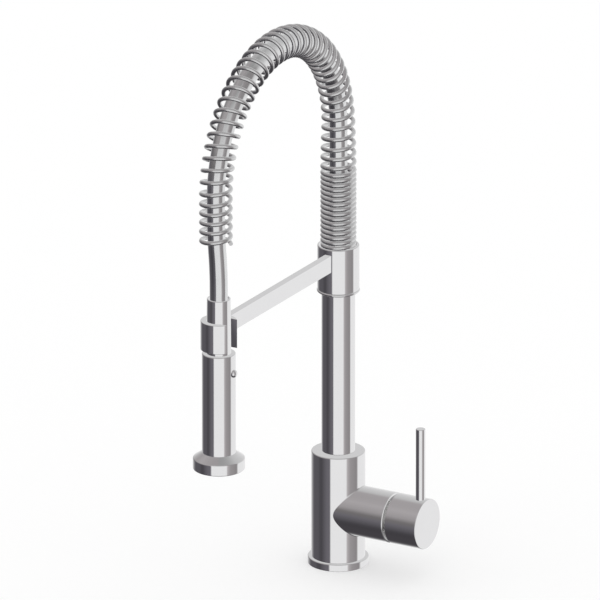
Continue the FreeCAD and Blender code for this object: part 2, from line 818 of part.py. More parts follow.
def spray_body():
    """Straight grip of the spray: a thread socket above, a waterway, a spigot for the bell below, and a
    cross bore for the button."""
    r = spray_d / 2
    water = water_bore_d / 2
    thread = neck_thread_d / 2 + slip
    spigot = spray_spigot_d / 2
    foot = spray_z - spray_spigot_h
    z_thread = spray_top - neck_thread_h
    solid = turned([(water, foot), (spigot, foot), (spigot, spray_z), (r, spray_z), (r, spray_top - edge),
                    (r - edge, spray_top), (thread, spray_top), (thread, z_thread), (water, z_thread)],
                   spray_axis)
    bore = rod(button_d, spray_axis + V(-button_bore_end, 0, button_z), RIGHT, 2 * spray_d)
    return solid.cut(bore)


def spray_bell():
    """Flared end of the spray, hollow for the nozzle plate."""
    spigot = spray_spigot_d / 2 + slip
    r = bell_d / 2
    ceiling = spray_z - spray_spigot_h
    return turned([(plate_r, bell_z), (r - edge, bell_z), (r, bell_z + edge), (r, spray_z - bell_cone_h),
                   (spray_d / 2, spray_z), (spigot, spray_z), (spigot, ceiling), (plate_r, ceiling)],
                  spray_axis)


def nozzle_plate_z():
    return bell_z + plate_recess


def nozzle_plate():
    """Spray face: a disc with rings of nozzle holes and a middle hole for the aerator."""
    z0 = nozzle_plate_z()
    disc = tube(2 * plate_r, aerator_d + 2 * slip, z0, z0 + nozzle_plate_t, spray_axis)
    points = ring_points(nozzle_pitch, nozzle_rings, spray_axis + UP * (z0 - over))
    return disc.cut([rod(nozzle_d, p, UP, nozzle_plate_t + 2 * over) for p in points])


def spray_nozzles():
    """Soft nozzles in the plate's holes, each a small cone with a bore."""
    z0 = nozzle_plate_z()
    r = nozzle_d / 2
    bore = nozzle_bore_d / 2
    tip = z0 - nozzle_show
    top = z0 + nozzle_plate_t
    cone = [(bore, tip), (nozzle_tip_d / 2, tip), (r, z0), (r, top), (bore, top)]
    return Part.makeCompound([turned(cone, p) for p in ring_points(nozzle_pitch, nozzle_rings, spray_axis)])


def aerator():
    """Jet insert in the middle of the plate, with a grid of holes."""
    z0 = nozzle_plate_z()
    height = spray_z - spray_spigot_h - seat - z0
    body = tube(aerator_d, 0, z0, z0 + height, spray_axis)
    middle = spray_axis + UP * (z0 - over)
    points = [middle] + ring_points(aerator_pitch, aerator_rings, middle)
    return body.cut([rod(aerator_hole_d, p, UP, height + 2 * over) for p in points])


def button_start():
    """Inner end of the button's cap on the spray's cross bore, from the spray's axis."""
    return spray_d / 2 - button_h


def button_axis():
    return spray_axis + UP * button_z


def button():
    """Push button with a domed face."""
    r = button_d / 2 - slip
    crown = spray_d / 2 + button_proud
    face_r = (r ** 2 + button_dome_h ** 2) / (2 * button_dome_h)
    bar = rod(2 * r, button_axis() + RIGHT * button_start(), RIGHT, crown - button_start())
    return bar.common(Part.makeSphere(face_r, button_axis() + RIGHT * (crown - face_r)))


def diverter_spool():
    """Plunger behind the button: a thin rod with two sealing lands."""
    rod_r = spool_d / 2
    land = button_d / 2 - slip
    x0 = -spool_end
    x1 = button_start()
    x2 = x1 - 2 * land_w
    return turned([(0, x0), (land, x0), (land, x0 + land_w), (rod_r, x0 + land_w), (rod_r, x2), (land, x2),
                   (land, x2 + land_w), (rod_r, x2 + land_w), (rod_r, x1), (0, x1)], button_axis(), RIGHT)


def button_spring():
    """Small return spring at the blind end of the button's bore."""
    coil_r = button_coil_d / 2
    length = button_bore_end - spool_end - button_wire_d - 2 * slip
    pitch = length / half_turn_count
    start = button_axis() - RIGHT * (button_bore_end - button_wire_d / 2 - slip)
    nodes = []
    for k in range(half_turn_count + 1):
        side = math.cos(k * math.pi)
        across = UP * side * coil_r + RIGHT * (pitch / math.pi)
        nodes.append((start + BACK * side * coil_r + RIGHT * (pitch * k), across / across.Length))
    return swept(Part.Wire(wound(nodes)), button_wire_d)


pieces = [
    base_gasket, base_flange, inlet_block, mixer_body, port_seals, cartridge_foot, fixed_disc,
    moving_disc, disc_carrier, cartridge_housing, cartridge_nut, trim_dome, cartridge_rotor,
    stem_pivot_pin, cartridge_stem, handle_cap, lever_pin, handle_grub_screw, swivel_stop_screw,
    swivel_glide_ring, pillar_foot, foot_seals, pillar_tube, pillar_head, arm_collar,
    collar_set_screw, collar_ring, arm, dock_ring, hose, hose_ferrule, spring, hose_cone, cone_seal,
    spray_neck, check_valve, spray_body, spray_bell, nozzle_plate, spray_nozzles, aerator, button,
    diverter_spool, button_spring,
]

os.makedirs("parts", exist_ok=True)
for piece in pieces:
    piece().exportStep("parts/" + piece.__name__ + ".step")
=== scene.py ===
import json
import math

import bmesh
import bpy
from mathutils import Matrix, Vector

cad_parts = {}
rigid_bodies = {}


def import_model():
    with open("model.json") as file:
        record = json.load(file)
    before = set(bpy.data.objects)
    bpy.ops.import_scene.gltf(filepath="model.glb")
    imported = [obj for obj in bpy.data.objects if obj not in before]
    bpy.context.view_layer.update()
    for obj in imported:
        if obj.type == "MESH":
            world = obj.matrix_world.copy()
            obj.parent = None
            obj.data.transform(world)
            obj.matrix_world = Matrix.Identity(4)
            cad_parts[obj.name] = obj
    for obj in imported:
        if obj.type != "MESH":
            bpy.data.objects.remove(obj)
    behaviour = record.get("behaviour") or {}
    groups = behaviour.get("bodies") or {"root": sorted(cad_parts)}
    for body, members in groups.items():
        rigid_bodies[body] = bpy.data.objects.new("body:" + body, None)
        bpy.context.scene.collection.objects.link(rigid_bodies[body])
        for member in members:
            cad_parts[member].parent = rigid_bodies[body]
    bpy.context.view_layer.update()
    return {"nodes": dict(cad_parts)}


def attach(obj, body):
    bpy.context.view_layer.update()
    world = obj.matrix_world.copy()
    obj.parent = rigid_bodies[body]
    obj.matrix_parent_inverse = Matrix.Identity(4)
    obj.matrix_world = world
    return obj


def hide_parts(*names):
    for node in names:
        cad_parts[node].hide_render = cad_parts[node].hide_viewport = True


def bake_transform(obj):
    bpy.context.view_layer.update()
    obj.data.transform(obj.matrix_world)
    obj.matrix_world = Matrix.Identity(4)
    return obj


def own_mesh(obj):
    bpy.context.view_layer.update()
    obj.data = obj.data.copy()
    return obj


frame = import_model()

# A single lever kitchen faucet with a spring arch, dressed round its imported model, in metres and in the same frame:
# the origin is the middle of the base on the worktop, +Z is up, the spray hangs towards -Y, the lever stands at +X.


# The studio. A long lens stands 30 degrees right of the front and 20 degrees up, and the faucet is on a white table.
# White screens with a dark cloth on the left and a grey one on the right stand round it, and the polished metal shows
# them as upright bands.
AZIMUTH = math.radians(29.92)
ELEVATION = math.radians(20)
LOOK_AT = Vector((-0.0647, 0.0486, 0.2045))
PICTURE_WIDTH = 0.5
LENS = 1600
SENSOR = 36
TO_RIGHT = Vector((math.cos(AZIMUTH), math.sin(AZIMUTH), 0))
TO_LENS = Vector((math.sin(AZIMUTH), -math.cos(AZIMUTH), 0))
FLOOR_SIDE = 8.0
FLOOR_Z = -0.0001
FLOOR_WHITE = 0.6

scene = bpy.context.scene
scene.view_settings.view_transform = "Standard"

camera = bpy.data.objects.new("camera", bpy.data.cameras.new("camera"))
scene.collection.objects.link(camera)
scene.camera = camera
distance = PICTURE_WIDTH * LENS / SENSOR
camera.data.lens = LENS
camera.data.sensor_width = SENSOR
camera.data.clip_end = 2 * distance
back = TO_LENS * math.cos(ELEVATION) + Vector((0, 0, math.sin(ELEVATION)))
turned = Matrix((TO_RIGHT, back.cross(TO_RIGHT), back)).transposed()
camera.matrix_world = Matrix.Translation(LOOK_AT + back * distance) @ turned.to_4x4()


class Wire:
    """A socket of a node tree. An expression of wires and numbers adds Math nodes to the tree."""

    def __init__(self, tree, socket=None):
        self.tree = tree
        self.socket = socket

    def node(self, kind, settings=None, inputs=None, output=0):
        """Adds a node with its settings, then its sockets' values or links, and gives one of its outputs."""
        new = self.tree.nodes.new(kind)
        for name, value in (settings or {}).items():
            if name == "stops":
                ramp = new.color_ramp.elements
                while len(ramp) < len(value):
                    ramp.new(1.0)
                for stop, (place, colour) in zip(ramp, value):
                    stop.position = place
                    stop.color = (*colour, 1.0)
            else:
                setattr(new, name, value)
        for name, value in (inputs or {}).items():
            if isinstance(value, Wire):
                self.tree.links.new(value.socket, new.inputs[name])
            else:
                new.inputs[name].default_value = value
        return Wire(self.tree, new.outputs[output])

    def out(self, name):
        """Another output of the same node."""
        return Wire(self.tree, self.socket.node.outputs[name])

    def into(self, socket):
        self.tree.links.new(self.socket, socket)

    def calc(self, operation, first, second):
        return self.node("ShaderNodeMath", {"operation": operation}, {0: first, 1: second})

    def __add__(self, other):
        return self.calc("ADD", self, other)

    def __sub__(self, other):
        return self.calc("SUBTRACT", self, other)

    def __rsub__(self, other):
        return self.calc("SUBTRACT", other, self)

    def __mul__(self, other):
        return self.calc("MULTIPLY", self, other)

    def __truediv__(self, other):
        return self.calc("DIVIDE", self, other)

    __radd__ = __add__
    __rmul__ = __mul__


# What the metal sees round it, as (height of a ray, grey) or (degrees round from the lens to its right, grey).
SCREENS_BY_HEIGHT = [(-1.0, 0.885), (-0.15, 0.885), (0.05, 0.78), (0.38, 0.675), (0.76, 0.56), (1.0, 0.35)]
DARK_BY_HEIGHT = [(-1.0, 0.07), (-0.6, 0.076), (-0.2, 0.134), (0.13, 0.179), (0.39, 0.337), (0.74, 0.416),
                  (1.0, 0.35)]
DARK_BY_BEARING = [(-125, 0.68), (-95, 0.65), (-84, 0.49), (-75, 0.475), (-62, 0.73), (-48, 0.98)]
DARK_GAIN = 1.32                        # level at the dark cloth's right end, against the levels by height
LOWER_HALF = (0.1, -0.2)                # heights between which the dark cloth takes its levels by bearing
GREY_BY_BEARING = [(37, 0.54), (43, 0.415), (53, 0.33), (84, 0.27)]
DARK_START, DARK_START_LEAN = -182, 12  # bearing at which the dark cloth fades in, and how that leans overhead
DARK_FULL, DARK_FULL_LEAN = -122, -37   # bearing from which it is full, and how that leans overhead
DARK_END, DARK_EDGE = -34.3, 7.0        # its right edge and how soft it is, in degrees
GREY_START, GREY_START_EDGE = 36.0, 5.0
GREY_END, GREY_END_EDGE = 90.0, 11.0
UNDERFOOT, UNDERFOOT_GREY = (-0.5, -0.9), (0.062, 0.058, 0.065)  # the dark below: heights it fades in at, colour
WARM_GREY, COLD_GREY = (1.055, 1.0, 1.012), (1.05, 1.0, 1.12)

studio = bpy.data.worlds.new("studio")
scene.world = studio
studio.use_nodes = True
studio.node_tree.nodes.clear()
air = Wire(studio.node_tree)
direction = air.node("ShaderNodeTexCoord").out("Generated")
rightward = air.node("ShaderNodeVectorMath", {"operation": "DOT_PRODUCT"}, {0: direction, 1: TO_RIGHT}, "Value")
lensward = air.node("ShaderNodeVectorMath", {"operation": "DOT_PRODUCT"}, {0: direction, 1: TO_LENS}, "Value")
upward = air.node("ShaderNodeSeparateXYZ", inputs={0: direction}, output="Z")
bearing = air.calc("ARCTAN2", rightward, lensward) * (180 / math.pi)


def ramped(place, start, end):
    """0 at a start and 1 at an end, with a smooth rise between them."""
    return place.node("ShaderNodeMapRange", {"interpolation_type": "SMOOTHSTEP"}, {0: place, 1: start, 2: end})


def stepped(place, stops):
    """A grey read from a list of (place, grey)."""
    first, span = stops[0][0], stops[-1][0] - stops[0][0]
    shares = [((stop - first) / span, (grey, grey, grey)) for stop, grey in stops]
    return place.node("ShaderNodeValToRGB", {"stops": shares}, {0: (place - first) / span})


def mixed(factor, first, second):
    """A colour between two colours."""
    return factor.node("ShaderNodeMix", {"data_type": "RGBA"}, {0: factor, 6: first, 7: second}, 2)


overhead = air.calc("MAXIMUM", upward, 0)
lower_half = ramped(upward, *LOWER_HALF)
dark_covers = ramped(bearing, DARK_START + DARK_START_LEAN * overhead, DARK_FULL + DARK_FULL_LEAN * overhead)
dark_covers = dark_covers - ramped(bearing, DARK_END - DARK_EDGE / 2, DARK_END + DARK_EDGE / 2)
dark_sway = 1 + (DARK_GAIN * stepped(bearing, DARK_BY_BEARING) - 1) * lower_half
dark = stepped(upward, DARK_BY_HEIGHT) * dark_sway
grey_covers = ramped(bearing, GREY_START - GREY_START_EDGE / 2, GREY_START + GREY_START_EDGE / 2)
grey_covers = grey_covers - ramped(bearing, GREY_END - GREY_END_EDGE / 2, GREY_END + GREY_END_EDGE / 2)
shown = stepped(upward, SCREENS_BY_HEIGHT)
for covers, grey, tint in ((dark_covers, dark, mixed(lower_half, (*WARM_GREY, 1), (*COLD_GREY, 1))),
                           (grey_covers, stepped(bearing, GREY_BY_BEARING), WARM_GREY)):
    cloth = air.node("ShaderNodeVectorMath", {"operation": "SCALE"}, {0: tint, "Scale": grey})
    shown = mixed(covers, shown, cloth)
shown = mixed(ramped(upward, *UNDERFOOT), shown, (*UNDERFOOT_GREY, 1))
glossy = air.node("ShaderNodeLightPath").out("Is Glossy Ray")
plain = air.node("ShaderNodeBackground", inputs={0: (1, 1, 1, 1), 1: 1.0})
screens = air.node("ShaderNodeBackground", inputs={0: shown, 1: 1.0})
sky = air.node("ShaderNodeMixShader", inputs={0: glossy, 1: plain, 2: screens})
sky.into(studio.node_tree.nodes.new("ShaderNodeOutputWorld").inputs["Surface"])

floor_mesh = bpy.data.meshes.new("floor")
half = FLOOR_SIDE / 2
floor_mesh.from_pydata([(-half, -half, FLOOR_Z), (half, -half, FLOOR_Z), (half, half, FLOOR_Z),
                        (-half, half, FLOOR_Z)], [], [(0, 1, 2, 3)])
table = bpy.data.materials.new("white_table")
table.use_nodes = True
table.node_tree.nodes.clear()
top = Wire(table.node_tree)
path = top.node("ShaderNodeLightPath")
matt = top.node("ShaderNodeBsdfDiffuse", inputs={0: (FLOOR_WHITE, FLOOR_WHITE, FLOOR_WHITE, 1)})
lift = top.node("ShaderNodeEmission", inputs={0: (1, 1, 1, 1), 1: path.out("Is Camera Ray") * (1 - FLOOR_WHITE)})
lit = top.node("ShaderNodeAddShader", inputs={0: matt, 1: lift})
clear = top.node("ShaderNodeBsdfTransparent")
surface = top.node("ShaderNodeMixShader", inputs={0: path.out("Is Glossy Ray"), 1: lit, 2: clear})
surface.into(table.node_tree.nodes.new("ShaderNodeOutputMaterial").inputs["Surface"])
floor_mesh.materials.append(table)
floor = bpy.data.objects.new("floor", floor_mesh)
scene.collection.objects.link(floor)


# The foot of the faucet: a turned brass ring, chromed, that hides the worktop's hole, with a black rubber gasket in
# a groove of its underside. The inlet block, a brass plug with the tapped holes, fills its middle.
FLANGE_R = 0.0255
FLANGE_H = 0.006
FLANGE_BORE = 0.01655
GASKET_IN, GASKET_OUT, GASKET_H = 0.020, 0.023, 0.002
FLANGE_EDGE, FINE_EDGE = 0.0007, 0.0003
SUPPORT = 0.00015            # loop beside a round that keeps the flat beside it flat
WELD, ON_AXIS = 1e-7, 1e-9   # points as close as this to one another, or to a turned piece's axis, are one
ROUND_STEPS = 6
SIDES = 160
SHARP = math.radians(32)


def rounded(outline):
    """The points of a closed outline of corners (radius, height, round), each corner with its own arc."""
    points = []
    count = len(outline)
    for i, corner in enumerate(outline):
        here = Vector(corner[:2])
        size = corner[2] if len(corner) > 2 else 0
        before = Vector(outline[i - 1][:2]) - here
        after = Vector(outline[(i + 1) % count][:2]) - here
        if size == 0:
            points.append(here)
            continue
        u, v = before.normalized(), after.normalized()
        half = u.angle(v) / 2
        tangent = size / math.tan(half)
        middle = here + (u + v).normalized() * (size / math.sin(half))
        start, end = here + u * tangent - middle, here + v * tangent - middle
        turn = math.pi - 2 * half
        if before.length > tangent + 2 * SUPPORT:
            points.append(here + u * (tangent + SUPPORT))
        for k in range(ROUND_STEPS + 1):
            part = turn * k / ROUND_STEPS
            points.append(middle + (start * math.sin(turn - part) + end * math.sin(part)) / math.sin(turn))
        if after.length > tangent + 2 * SUPPORT:
            points.append(here + v * (tangent + SUPPORT))
    return points


def closed(name, vertices, faces):
    """A mesh whose faces all point outwards."""
    mesh = bpy.data.meshes.new(name)
    mesh.from_pydata(vertices, [], faces)
    work = bmesh.new()
    work.from_mesh(mesh)
    bmesh.ops.remove_doubles(work, verts=work.verts, dist=WELD)
    bmesh.ops.recalc_face_normals(work, faces=work.faces)
    work.to_mesh(mesh)
    work.free()
    return mesh


def lathe(name, outline, origin=(0, 0, 0), level=False, sides=SIDES):
    """A turned piece: an outline of (radius, height, round) about an upright axis, or a level one along X."""
    vertices, rings = [], []
    for r, h in rounded(outline):
        turns = 1 if r < ON_AXIS else sides
        rings.append(range(len(vertices), len(vertices) + turns))
        for k in range(turns):
            a = 2 * math.pi * k / sides
            place = (h, r * math.cos(a), r * math.sin(a)) if level else (r * math.cos(a), r * math.sin(a), h)
            vertices.append(Vector(place) + Vector(origin))
    faces = []
    for one, two in zip(rings, rings[1:] + rings[:1]):
        for k in range(max(len(one), len(two)) if len(one) + len(two) > 2 else 0):
            a, b = one[k % len(one)], one[(k + 1) % len(one)]
            c, d = two[(k + 1) % len(two)], two[k % len(two)]
            faces.append(tuple(dict.fromkeys((a, b, c, d))))
    return closed(name, vertices, faces)


def fitted(mesh, finish, body, slot, *nodes):
    """Hangs a mesh on its body, or fixes it where it is when given two bodies, and hides the CAD nodes it stands for.
    """
    mesh.shade_smooth()
    mesh.set_sharp_from_angle(angle=SHARP)
    mesh.materials.clear()
    mesh.materials.append(finish)
    piece = bpy.data.objects.new(mesh.name, mesh)
    scene.collection.objects.link(piece)
    if isinstance(body, tuple):
        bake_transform(piece)
    else:
        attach(piece, body)
    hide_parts(*nodes)
    return piece


def painted(finish, *nodes):
    """Gives CAD nodes that keep their own shape a finish."""
    for node in nodes:
        mesh = frame["nodes"][node].data
        mesh.materials.clear()
        mesh.materials.append(finish)


def new_finish(name):
    """A material, the wire that adds to its nodes, and its shader's sockets."""
    material = bpy.data.materials.new(name)
    material.use_nodes = True
    return material, Wire(material.node_tree), material.node_tree.nodes["Principled BSDF"].inputs


def grain(tree, scale, detail=2.0, stretch=(1, 1, 1)):
    """Noise over the piece, finer for a larger scale, drawn out where the stretch is small."""
    place = tree.node("ShaderNodeTexCoord").out("Object")
    place = tree.node("ShaderNodeMapping", inputs={"Vector": place, "Scale": stretch})
    return tree.node("ShaderNodeTexNoise", inputs={"Vector": place, "Scale": scale, "Detail": detail})


def bumped(height, strength, depth):
    return height.node("ShaderNodeBump", inputs={"Strength": strength, "Distance": depth, "Height": height})


# Chrome plate on polished brass: near white, with a polisher's faint cloudiness and hardly a wave in it. Its colour
# is darkened to a painted shade where a piece is marked, as hardly any light comes in there.
chrome, tree, shader = new_finish("chrome")
cloud = grain(tree, 55, 3)
plate = mixed(cloud, (0.845, 0.842, 0.85, 1), (0.875, 0.872, 0.88, 1))
enclosed = tree.node("ShaderNodeAttribute", {"attribute_name": "enclosed"}).out("Fac")
# painted shade: the plate's colour goes dark where a mesh marks it
mixed(enclosed, plate, (0.16, 0.158, 0.163, 1)).into(shader["Base Color"])
shader["Metallic"].default_value = 1.0
(0.045 + 0.035 * cloud + 0.02 * grain(tree, 900)).into(shader["Roughness"])
bumped(grain(tree, 30), 0.02, 0.0005).into(shader["Normal"])

# Black rubber of gaskets and seals: matt, with the grain of its mould.
rubber, tree, shader = new_finish("rubber")
mixed(grain(tree, 400), (0.022, 0.022, 0.023, 1), (0.045, 0.045, 0.046, 1)).into(shader["Base Color"])
(0.62 + 0.2 * grain(tree, 250)).into(shader["Roughness"])
bumped(grain(tree, 2500), 0.25, 0.0001).into(shader["Normal"])

# Bare brass as it leaves the lathe: warm yellow, with fine tool marks across the bar.
brass, tree, shader = new_finish("brass")
marks = grain(tree, 1400, 2, (0.08, 0.08, 1))
mixed(marks, (0.55, 0.40, 0.16, 1), (0.78, 0.60, 0.28, 1)).into(shader["Base Color"])
shader["Metallic"].default_value = 1.0
(0.24 + 0.16 * marks).into(shader["Roughness"])
bumped(marks, 0.3, 0.0001).into(shader["Normal"])

fitted(lathe("flange_ring", [(FLANGE_BORE, 0), (GASKET_IN, 0), (GASKET_IN, GASKET_H), (GASKET_OUT, GASKET_H),
                             (GASKET_OUT, 0), (FLANGE_R, 0, FINE_EDGE), (FLANGE_R, FLANGE_H, FLANGE_EDGE),
                             (FLANGE_BORE, FLANGE_H)]),
       chrome, "base", "chrome", "base_flange")
fitted(lathe("deck_gasket", [(GASKET_IN, 0), (GASKET_OUT, 0), (GASKET_OUT, GASKET_H), (GASKET_IN, GASKET_H)]),
       rubber, "base", "rubber", "base_gasket")
painted(brass, "inlet_block")


# The mixer body: one brass casting, turned and chromed. A small cast round runs along the seam of barrel and branch.
# A drilled hole behind takes the screw that keeps the pillar down. The branch ends in a bowl for the handle's rim.
BARREL_R = 0.0225
BARREL_FOOT = FLANGE_H
BARREL_TOP = 0.099
BARREL_EDGE = 0.0008
BLOCK_TOP = 0.020
SOCKET_R, SOCKET_FLOOR = 0.01155, 0.068
GLIDE_R, GLIDE_FLOOR = 0.0136, 0.0964
BRANCH_R = 0.0213
BRANCH_Z = 0.0488
BRANCH_END = 0.0534
CHAMBER_R, CHAMBER_FLOOR = 0.01745, 0.024
TILT_X = 0.0663
BOWL_R, BOWL_STEPS = 0.02383, 4
SEAM_ROUND = 0.0009
SEAM_SIDES = 144
SEAM_PAST = 0.0262           # branch and barrel run straight from here on, past the seam
BARREL_BACK = 108            # upright strips of the barrel outside the branch
STOP_SCREW_Z, STOP_SCREW_R = 0.083, 0.00305
DRILL_SIDES = 64
GROOVE_LIT, GROOVE_DARK = 0.048, 0.044  # heights between which the groove behind the handle falls into painted shade


def seam(angle):
    """The points across the round from barrel to branch, at an angle round the branch."""
    reach = BRANCH_R + SEAM_ROUND
    middle = Vector((0, reach * math.cos(angle), BRANCH_Z + reach * math.sin(angle)))
    middle.x = math.sqrt((BARREL_R + SEAM_ROUND) ** 2 - middle.y ** 2)
    to_barrel = Vector((-middle.x, -middle.y, 0)).normalized()
    to_branch = Vector((0, -math.cos(angle), -math.sin(angle)))
    return [middle + SEAM_ROUND * to_barrel.slerp(to_branch, k / ROUND_STEPS) for k in range(ROUND_STEPS + 1)]


def strips(columns):
    """Faces between neighbouring columns of vertices, round a closed ring of columns."""
    faces = []
    for one, two in zip(columns, columns[1:] + columns[:1]):
        faces += [(one[k], two[k], two[k + 1], one[k + 1]) for k in range(len(one) - 1)]
    return faces


def bowl(radius):
    """Where the bowl in the branch's end has a radius: (radius, distance along the branch)."""
    return radius, TILT_X - math.sqrt(BOWL_R ** 2 - radius ** 2)


def body_casting():
    points = []

    def add(place):
        points.append(Vector(place))
        return len(points) - 1

    rows = [[add(p) for p in seam(2 * math.pi * k / SEAM_SIDES)] for k in range(SEAM_SIDES)]
    lip = math.sqrt(BOWL_R ** 2 - (TILT_X - BRANCH_END) ** 2)
    hollow = [bowl(lip + (CHAMBER_R - lip) * k / BOWL_STEPS) for k in range(1, BOWL_STEPS + 1)]
    branch = rounded([(BRANCH_R, SEAM_PAST), (BRANCH_R, BRANCH_END, FINE_EDGE), (lip, BRANCH_END, FINE_EDGE / 2),
                      *hollow, (CHAMBER_R, CHAMBER_FLOOR), (0, CHAMBER_FLOOR)])
    for k, row in enumerate(rows):
        a = 2 * math.pi * k / SEAM_SIDES
        beside = points[row[-1]] + Vector((2 * SUPPORT, 0, 0))
        row += [add(beside)] + [add((x, r * math.cos(a), BRANCH_Z + r * math.sin(a))) for r, x in branch]
    faces = strips(rows)

    half = SEAM_SIDES // 2
    sides = []
    for k in range(half + 1):
        place = points[rows[k][0]]
        sides.append((math.atan2(place.y, place.x), rows[k][0], rows[-k % SEAM_SIDES][0]))
    first, last = sides[0][0], sides[-1][0] + 2 * math.pi
    for k in range(1, BARREL_BACK):
        a = last + (first - last) * k / BARREL_BACK
        one = add((BARREL_R * math.cos(a), BARREL_R * math.sin(a), BRANCH_Z))
        sides.append((a, one, one))
    upper = rounded([(BARREL_R, BRANCH_Z + SEAM_PAST), (BARREL_R, BARREL_TOP, BARREL_EDGE), (GLIDE_R, BARREL_TOP),
                     (GLIDE_R, GLIDE_FLOOR), (SOCKET_R, GLIDE_FLOOR), (SOCKET_R, SOCKET_FLOOR), (0, SOCKET_FLOOR)])
    lower = rounded([(BARREL_R, BRANCH_Z - SEAM_PAST), (BARREL_R, BARREL_FOOT, FINE_EDGE), (FLANGE_BORE, BARREL_FOOT),
                     (FLANGE_BORE, BLOCK_TOP), (0, BLOCK_TOP)])
    for outline, start, beside in ((upper, 1, 2 * SUPPORT), (lower, 2, -2 * SUPPORT)):
        columns = []
        for side in sides:
            a = side[0]
            column = [side[start], add(points[side[start]] + Vector((0, 0, beside)))]
            column += [add((r * math.cos(a), r * math.sin(a), h)) for r, h in outline]
            columns.append(column)
        faces += strips(columns)
    return closed("body_casting", points, faces)


def drilled(mesh, *holes):
    """A mesh with round holes cut in it, each given by a start, an end and a radius."""
    solid = bpy.data.objects.new(mesh.name, mesh)
    scene.collection.objects.link(solid)
    tools = []
    for start, end, radius in holes:
        start, end = Vector(start), Vector(end)
        work = bmesh.new()
        bmesh.ops.create_cone(work, cap_ends=True, segments=DRILL_SIDES, radius1=radius, radius2=radius,
                              depth=(end - start).length)
        turn = (end - start).to_track_quat("Z", "Y").to_matrix().to_4x4()
        work.transform(Matrix.Translation((start + end) / 2) @ turn)
        tool = bpy.data.objects.new("drill", bpy.data.meshes.new("drill"))
        work.to_mesh(tool.data)
        work.free()
        scene.collection.objects.link(tool)
        cut = solid.modifiers.new("hole", "BOOLEAN")
        cut.operation = "DIFFERENCE"
        cut.solver = "EXACT"
        cut.object = tool
        tools.append(tool)
    result = bpy.data.meshes.new_from_object(solid.evaluated_get(bpy.context.evaluated_depsgraph_get()))
    name = mesh.name
    for spare in [solid, *tools]:
        bpy.data.objects.remove(spare)
    bpy.data.meshes.remove(mesh)
    result.name = name
    return result


def shaded_groove(mesh):
    """Marks what lies low inside the branch's end for painted shade, where the handle keeps the light out."""
    shade = mesh.attributes.new("enclosed", "FLOAT", "POINT")
    for vertex, enclosed in zip(mesh.vertices, shade.data):
        out = math.hypot(vertex.co.y, vertex.co.z - BRANCH_Z)
        if vertex.co.x > SEAM_PAST and out < BRANCH_R - FINE_EDGE / 2:
            enclosed.value = min(max((GROOVE_LIT - vertex.co.z) / (GROOVE_LIT - GROOVE_DARK), 0), 1)
    return mesh


casting = drilled(body_casting(), ((0, SOCKET_R, STOP_SCREW_Z), (0, 2 * BARREL_R, STOP_SCREW_Z), STOP_SCREW_R))
fitted(shaded_groove(casting), chrome, "base", "chrome", "mixer_body")


# The cartridge in the branch: a plastic case with two ceramic discs, rubber port seals under it and a chromed brass
# nut over it. Its steel pin lets the brass stem tilt, and the rotor lets it turn. The handle hides all but the nut's
# rim.

# White engineering plastic, moulded: satin, with a faint flow pattern.
plastic, tree, shader = new_finish("plastic")
mixed(grain(tree, 180), (0.74, 0.74, 0.72, 1), (0.84, 0.84, 0.82, 1)).into(shader["Base Color"])
(0.42 + 0.15 * grain(tree, 700)).into(shader["Roughness"])
bumped(grain(tree, 3000), 0.15, 0.00005).into(shader["Normal"])

# Sintered alumina, lapped flat: off white, smooth, with tiny specks.
ceramic, tree, shader = new_finish("ceramic")
mixed(grain(tree, 1200, 4), (0.78, 0.76, 0.72, 1), (0.88, 0.87, 0.84, 1)).into(shader["Base Color"])
(0.18 + 0.1 * grain(tree, 900)).into(shader["Roughness"])

# Plain stainless steel of screws and pins: drawn, with lines along the bar.
steel, tree, shader = new_finish("steel")
lines = grain(tree, 1800, 2, (1, 0.1, 0.1))
mixed(lines, (0.42, 0.42, 0.43, 1), (0.56, 0.56, 0.57, 1)).into(shader["Base Color"])
shader["Metallic"].default_value = 1.0
(0.2 + 0.14 * lines).into(shader["Roughness"])
bumped(lines, 0.2, 0.00005).into(shader["Normal"])

painted(plastic, "cartridge_foot", "cartridge_housing", "cartridge_rotor", "disc_carrier")
painted(ceramic, "fixed_disc", "moving_disc")
painted(rubber, "port_seals")
painted(chrome, "cartridge_nut")
# painted shade on the nut's lower part, as on the groove behind the handle
shaded_groove(frame["nodes"]["cartridge_nut"].data)
painted(brass, "cartridge_stem")
painted(steel, "stem_pivot_pin")


# The half ball that closes the view into the handle: turned brass, chromed, pushed on the cartridge's neck. The cap
# tilts over it, and it comes into view when the lever is lifted.
DOME_R = 0.0174
DOME_BORE = 0.01165
DOME_LIP = 0.01265
DOME_SHELF = 0.0605
DOME_HOLLOW = 0.0154
DOME_STEPS = 24


def dome_outline():
    start = math.acos(DOME_LIP / DOME_R)
    arc = []
    for k in range(DOME_STEPS + 1):
        a = start * (1 - k / DOME_STEPS)
        arc.append((DOME_R * math.cos(a), TILT_X - DOME_R * math.sin(a)))
    return [(DOME_BORE, arc[0][1]), *arc, (DOME_HOLLOW, TILT_X), (DOME_HOLLOW, DOME_SHELF), (DOME_BORE, DOME_SHELF)]


fitted(lathe("half_ball", dome_outline(), (0, 0, BRANCH_Z), level=True), chrome, "base", "chrome", "trim_dome")


# The handle: a turned cap in line with the branch, with a thin skirt over the half ball, and a slim pin pressed into
# its top as lever. Both are chromed brass. A steel screw from below clamps the cap on the stem.
CAP_REAR, CAP_FACE = 0.0563, 0.0853
CAP_BORE, CAP_BOTTOM = 0.018, 0.074
CAP_EDGE = 0.0004
LEVER_X = 0.0788
LEVER_R, LEVER_EDGE = 0.004, 0.0005
LEVER_FOOT, LEVER_TOP = 0.0581, 0.1321
LEVER_HOLE_R = 0.00405
GRUB_HOLE_R = 0.00255

